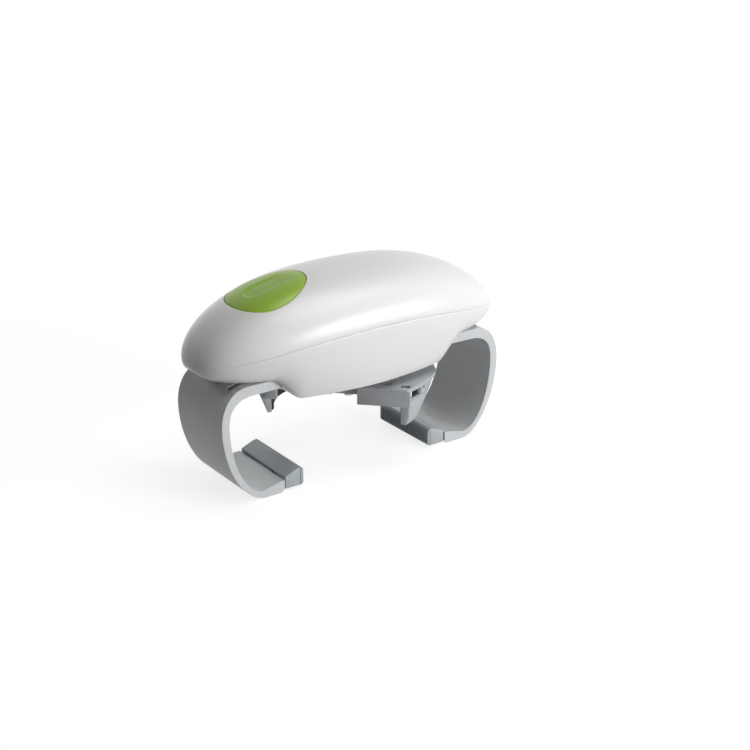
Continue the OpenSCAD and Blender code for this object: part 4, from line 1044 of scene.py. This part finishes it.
for side, extra in (("left", 180), ("right", 0)):
    carrier = across("carrier", [(PAD_FRONT, PAD_BASE), (PAD_BACK, PAD_BASE), (PAD_BACK, PAD_SHOULDER),
                                 (PAD_FRONT + 1.5, PAD_TOP), (PAD_FRONT, PAD_TOP)], -PAD_HALF, PAD_HALF)
    fix_normals(carrier)
    combine(carrier, box(PIN_X - 3.2, PAD_BACK + 1, -10.4, 10.4, PAD_BASE - 1, PIN_Z + 3.1))
    bore = [(PIN_X + x, PIN_Z + z) for x, z in circle(PIN_RADIUS + 0.02)]
    combine(carrier, across("bore", bore, -PIN_HALF - 0.1, PIN_HALF + 0.1))
    round_edges(carrier, 0.5, 3, 25)
    place(carrier, turn=extra)
    smooth(carrier, 40)
    dress(carrier, side + "_pad_carrier", "pad_plastic", "pad_" + side)

    pin = across("pin", [(PIN_X + x, PIN_Z + z) for x, z in circle(PIN_RADIUS)], -PIN_HALF, PIN_HALF)
    fix_normals(pin)
    place(round_edges(pin, 0.25, 2, 50), turn=extra)
    smooth(pin, 40)
    dress(pin, side + "_pad_pin", "pin_steel", "pad_" + side, black_steel)

    rubber = across("rubber", bar_outline(JAR_RADIUS + RIB_RADIUS, JAR_RADIUS + RUBBER_DEPTH, 2.0, 0.15),
                    -PAD_HALF, PAD_HALF)
    fix_normals(rubber)
    round_edges(rubber, 0.3, 3, 50)
    bar = place(rib(RIB_RADIUS, PAD_BASE + 1.6, PAD_TOP - 1.6), x=JAR_RADIUS + RIB_RADIUS)
    grow(rubber, ROW, Piece=bar, Material=pad_rubber, Count=PAD_RIBS, Turn=0.0,
         Start=(0, -RIB_PITCH * MM * (PAD_RIBS - 1) / 2, 0), Step=(0, RIB_PITCH * MM, 0))
    place(rubber, turn=extra)
    smooth(rubber, 45)
    dress(rubber, side + "_pad_rubber", "pad_rubber", "pad_" + side)
print("pads: carrier", len(carrier.data.polygons), "faces, rubber", len(rubber.data.polygons), "faces")

# %% [markdown]
# ## Screws
# The screws that show from below have low heads with a cross recess. Each head is turned, cut by a cross
# once, and copied to its places.

# %% Screws
def cross_screw(radius, z0, z1, shank):
    """A screw whose head spans z0 to z1 and faces down; shank is (radius, height) from the head up."""
    profile = [(0, z0), (radius * 0.5, z0), (radius * 0.8, z0 + 0.12), (radius * 0.95, z0 + 0.35),
               (radius, z0 + 0.7), (radius, z1 - 0.1), (radius - 0.1, z1)]
    for r, z in shank:
        profile += [(r, profile[-1][1]), (r, z)]
    screw = lathe("screw", profile + [(0, profile[-1][1])])
    arm_long, arm_wide = radius * 0.6, radius * 0.14
    cross = box(-arm_long, arm_long, -arm_wide, arm_wide, z0 - 1, z0 + 0.8)
    combine(cross, box(-arm_wide, arm_wide, -arm_long, arm_long, z0 - 1, z0 + 0.8), "UNION")
    return combine(screw, cross)


def screw_set(name, node_name, body, screw, spots, turn=0):
    """One screw on each spot, as one piece."""
    points = piece(name, [(x, y, 0) for x, y in spots], [])
    grow(points, SPOTS, Piece=screw, Material=ground_steel)
    place(points, turn=turn)
    smooth(points, 40)
    dress(points, node_name, "pin_steel", body)
    return points


casing = screw_set("casing_screws_fine", "casing_screws", "body",
                   cross_screw(2.8, 60.9, 62.9, [(1.5, 100.0)]),
                   SCREW_SPOTS)
guides = screw_set("jaw_screws_fine", "jaw_screws", "rotor",
                   cross_screw(2.9, 44.5, 46.0, [(1.45, 53.2), (1.25, 56.1)]),
                   [(sx * 6, sy * GUIDE_Y) for sx in (-1, 1) for sy in (-1, 1)], ROTOR_ANGLE)
centre_screw = screw_set("pinion_screw_fine", "pinion_screw", "drive",
                         cross_screw(5.4, 44.4, 46.2, [(1.1, 52.2)]), [(0, 0)])
print("screws:", [len(made.data.polygons) for made in (casing, guides, centre_screw)], "faces")

# %% [markdown]
# ## Stage and light
# A white floor and a white surround. Both are white to the camera and in reflections, and milder as a
# light, so that white plastic keeps its shading. The key lamp stands low, to the right of the camera, and
# leaves the faces towards the left in shade. A weak lamp overhead and one behind keep the dome and the
# far side from going dull. The floor's own glow rises with the distance from the object: near it the
# shadow shows, and far from it the floor meets the surround with no edge.

# %% Stage
FLOOR_HALF = 3000
SKY_LIGHT = 0.07
GLOW_NEAR = 0.80
GLOW_RADII = (0.35, 0.75)

corners = [(-1, -1), (1, -1), (1, 1), (-1, 1)]
floor = piece("floor", [(x * FLOOR_HALF, y * FLOOR_HALF, 0) for x, y in corners], [(0, 1, 2, 3)])


def seen_directly(tree):
    """1 for camera, glossy and transmission rays, and 0 for the rays that light things."""
    rays = add(tree, "ShaderNodeLightPath")
    mirror = add(tree, "ShaderNodeMath", {0: rays.outputs["Is Glossy Ray"],
                                          1: rays.outputs["Is Transmission Ray"]}, operation="MAXIMUM")
    return add(tree, "ShaderNodeMath", {0: rays.outputs["Is Camera Ray"], 1: mirror.outputs[0]},
               operation="MAXIMUM").outputs[0]


floor_paint = bpy.data.materials.new("floor_paint")
floor_paint.use_nodes = True
tree = floor_paint.node_tree
tree.nodes.clear()
matt = add(tree, "ShaderNodeBsdfDiffuse", Color=linear("#a2a2a2"))
spot = add(tree, "ShaderNodeTexCoord")
far = add(tree, "ShaderNodeVectorMath", {0: spot.outputs["Object"]}, operation="LENGTH")
growth = add(tree, "ShaderNodeMapRange", {"Value": far.outputs["Value"]}, From_Min=GLOW_RADII[0],
             From_Max=GLOW_RADII[1], To_Min=GLOW_NEAR, To_Max=1.0)
level = add(tree, "ShaderNodeMath", {0: seen_directly(tree), 1: growth.outputs["Result"]},
            operation="MULTIPLY")
glow = add(tree, "ShaderNodeEmission", {"Strength": level.outputs[0]}, Color=linear("#ffffff"))
both = add(tree, "ShaderNodeAddShader", {0: matt.outputs["BSDF"], 1: glow.outputs["Emission"]})
add(tree, "ShaderNodeOutputMaterial", {"Surface": both.outputs["Shader"]})
floor.data.materials.append(floor_paint)

world = bpy.data.worlds.new("surround")
scene.world = world
world.use_nodes = True
tree = world.node_tree
tree.nodes.clear()
strength = add(tree, "ShaderNodeMapRange", {"Value": seen_directly(tree)}, To_Min=SKY_LIGHT, To_Max=1.0)
sky = add(tree, "ShaderNodeBackground", {"Strength": strength.outputs["Result"]}, Color=linear("#ffffff"))
add(tree, "ShaderNodeOutputWorld", {"Surface": sky.outputs["Background"]})


def lamp(name, place, target, size, watts, sheen=True):
    """A square lamp at a place in metres. Without sheen it lights things but doesn't mirror in them."""
    data = bpy.data.lights.new(name, "AREA")
    data.shape = "SQUARE"
    data.size = size
    data.energy = watts
    made = bpy.data.objects.new(name, data)
    made.location = place
    made.visible_glossy = sheen
    made.rotation_euler = (Vector(target) - Vector(place)).to_track_quat("-Z", "Y").to_euler()
    scene.collection.objects.link(made)


lamp("key", (0.6, -1.25, 0.12), (0, 0, 0.06), 1.0, 25.5)
lamp("top", (0.3, -0.25, 1.3), (0, 0, 0.08), 0.9, 6.8)
lamp("rear", (0.4, 1.25, 0.25), (0, 0, 0.06), 1.0, 10.0, sheen=False)
scene.view_settings.view_transform = "Standard"
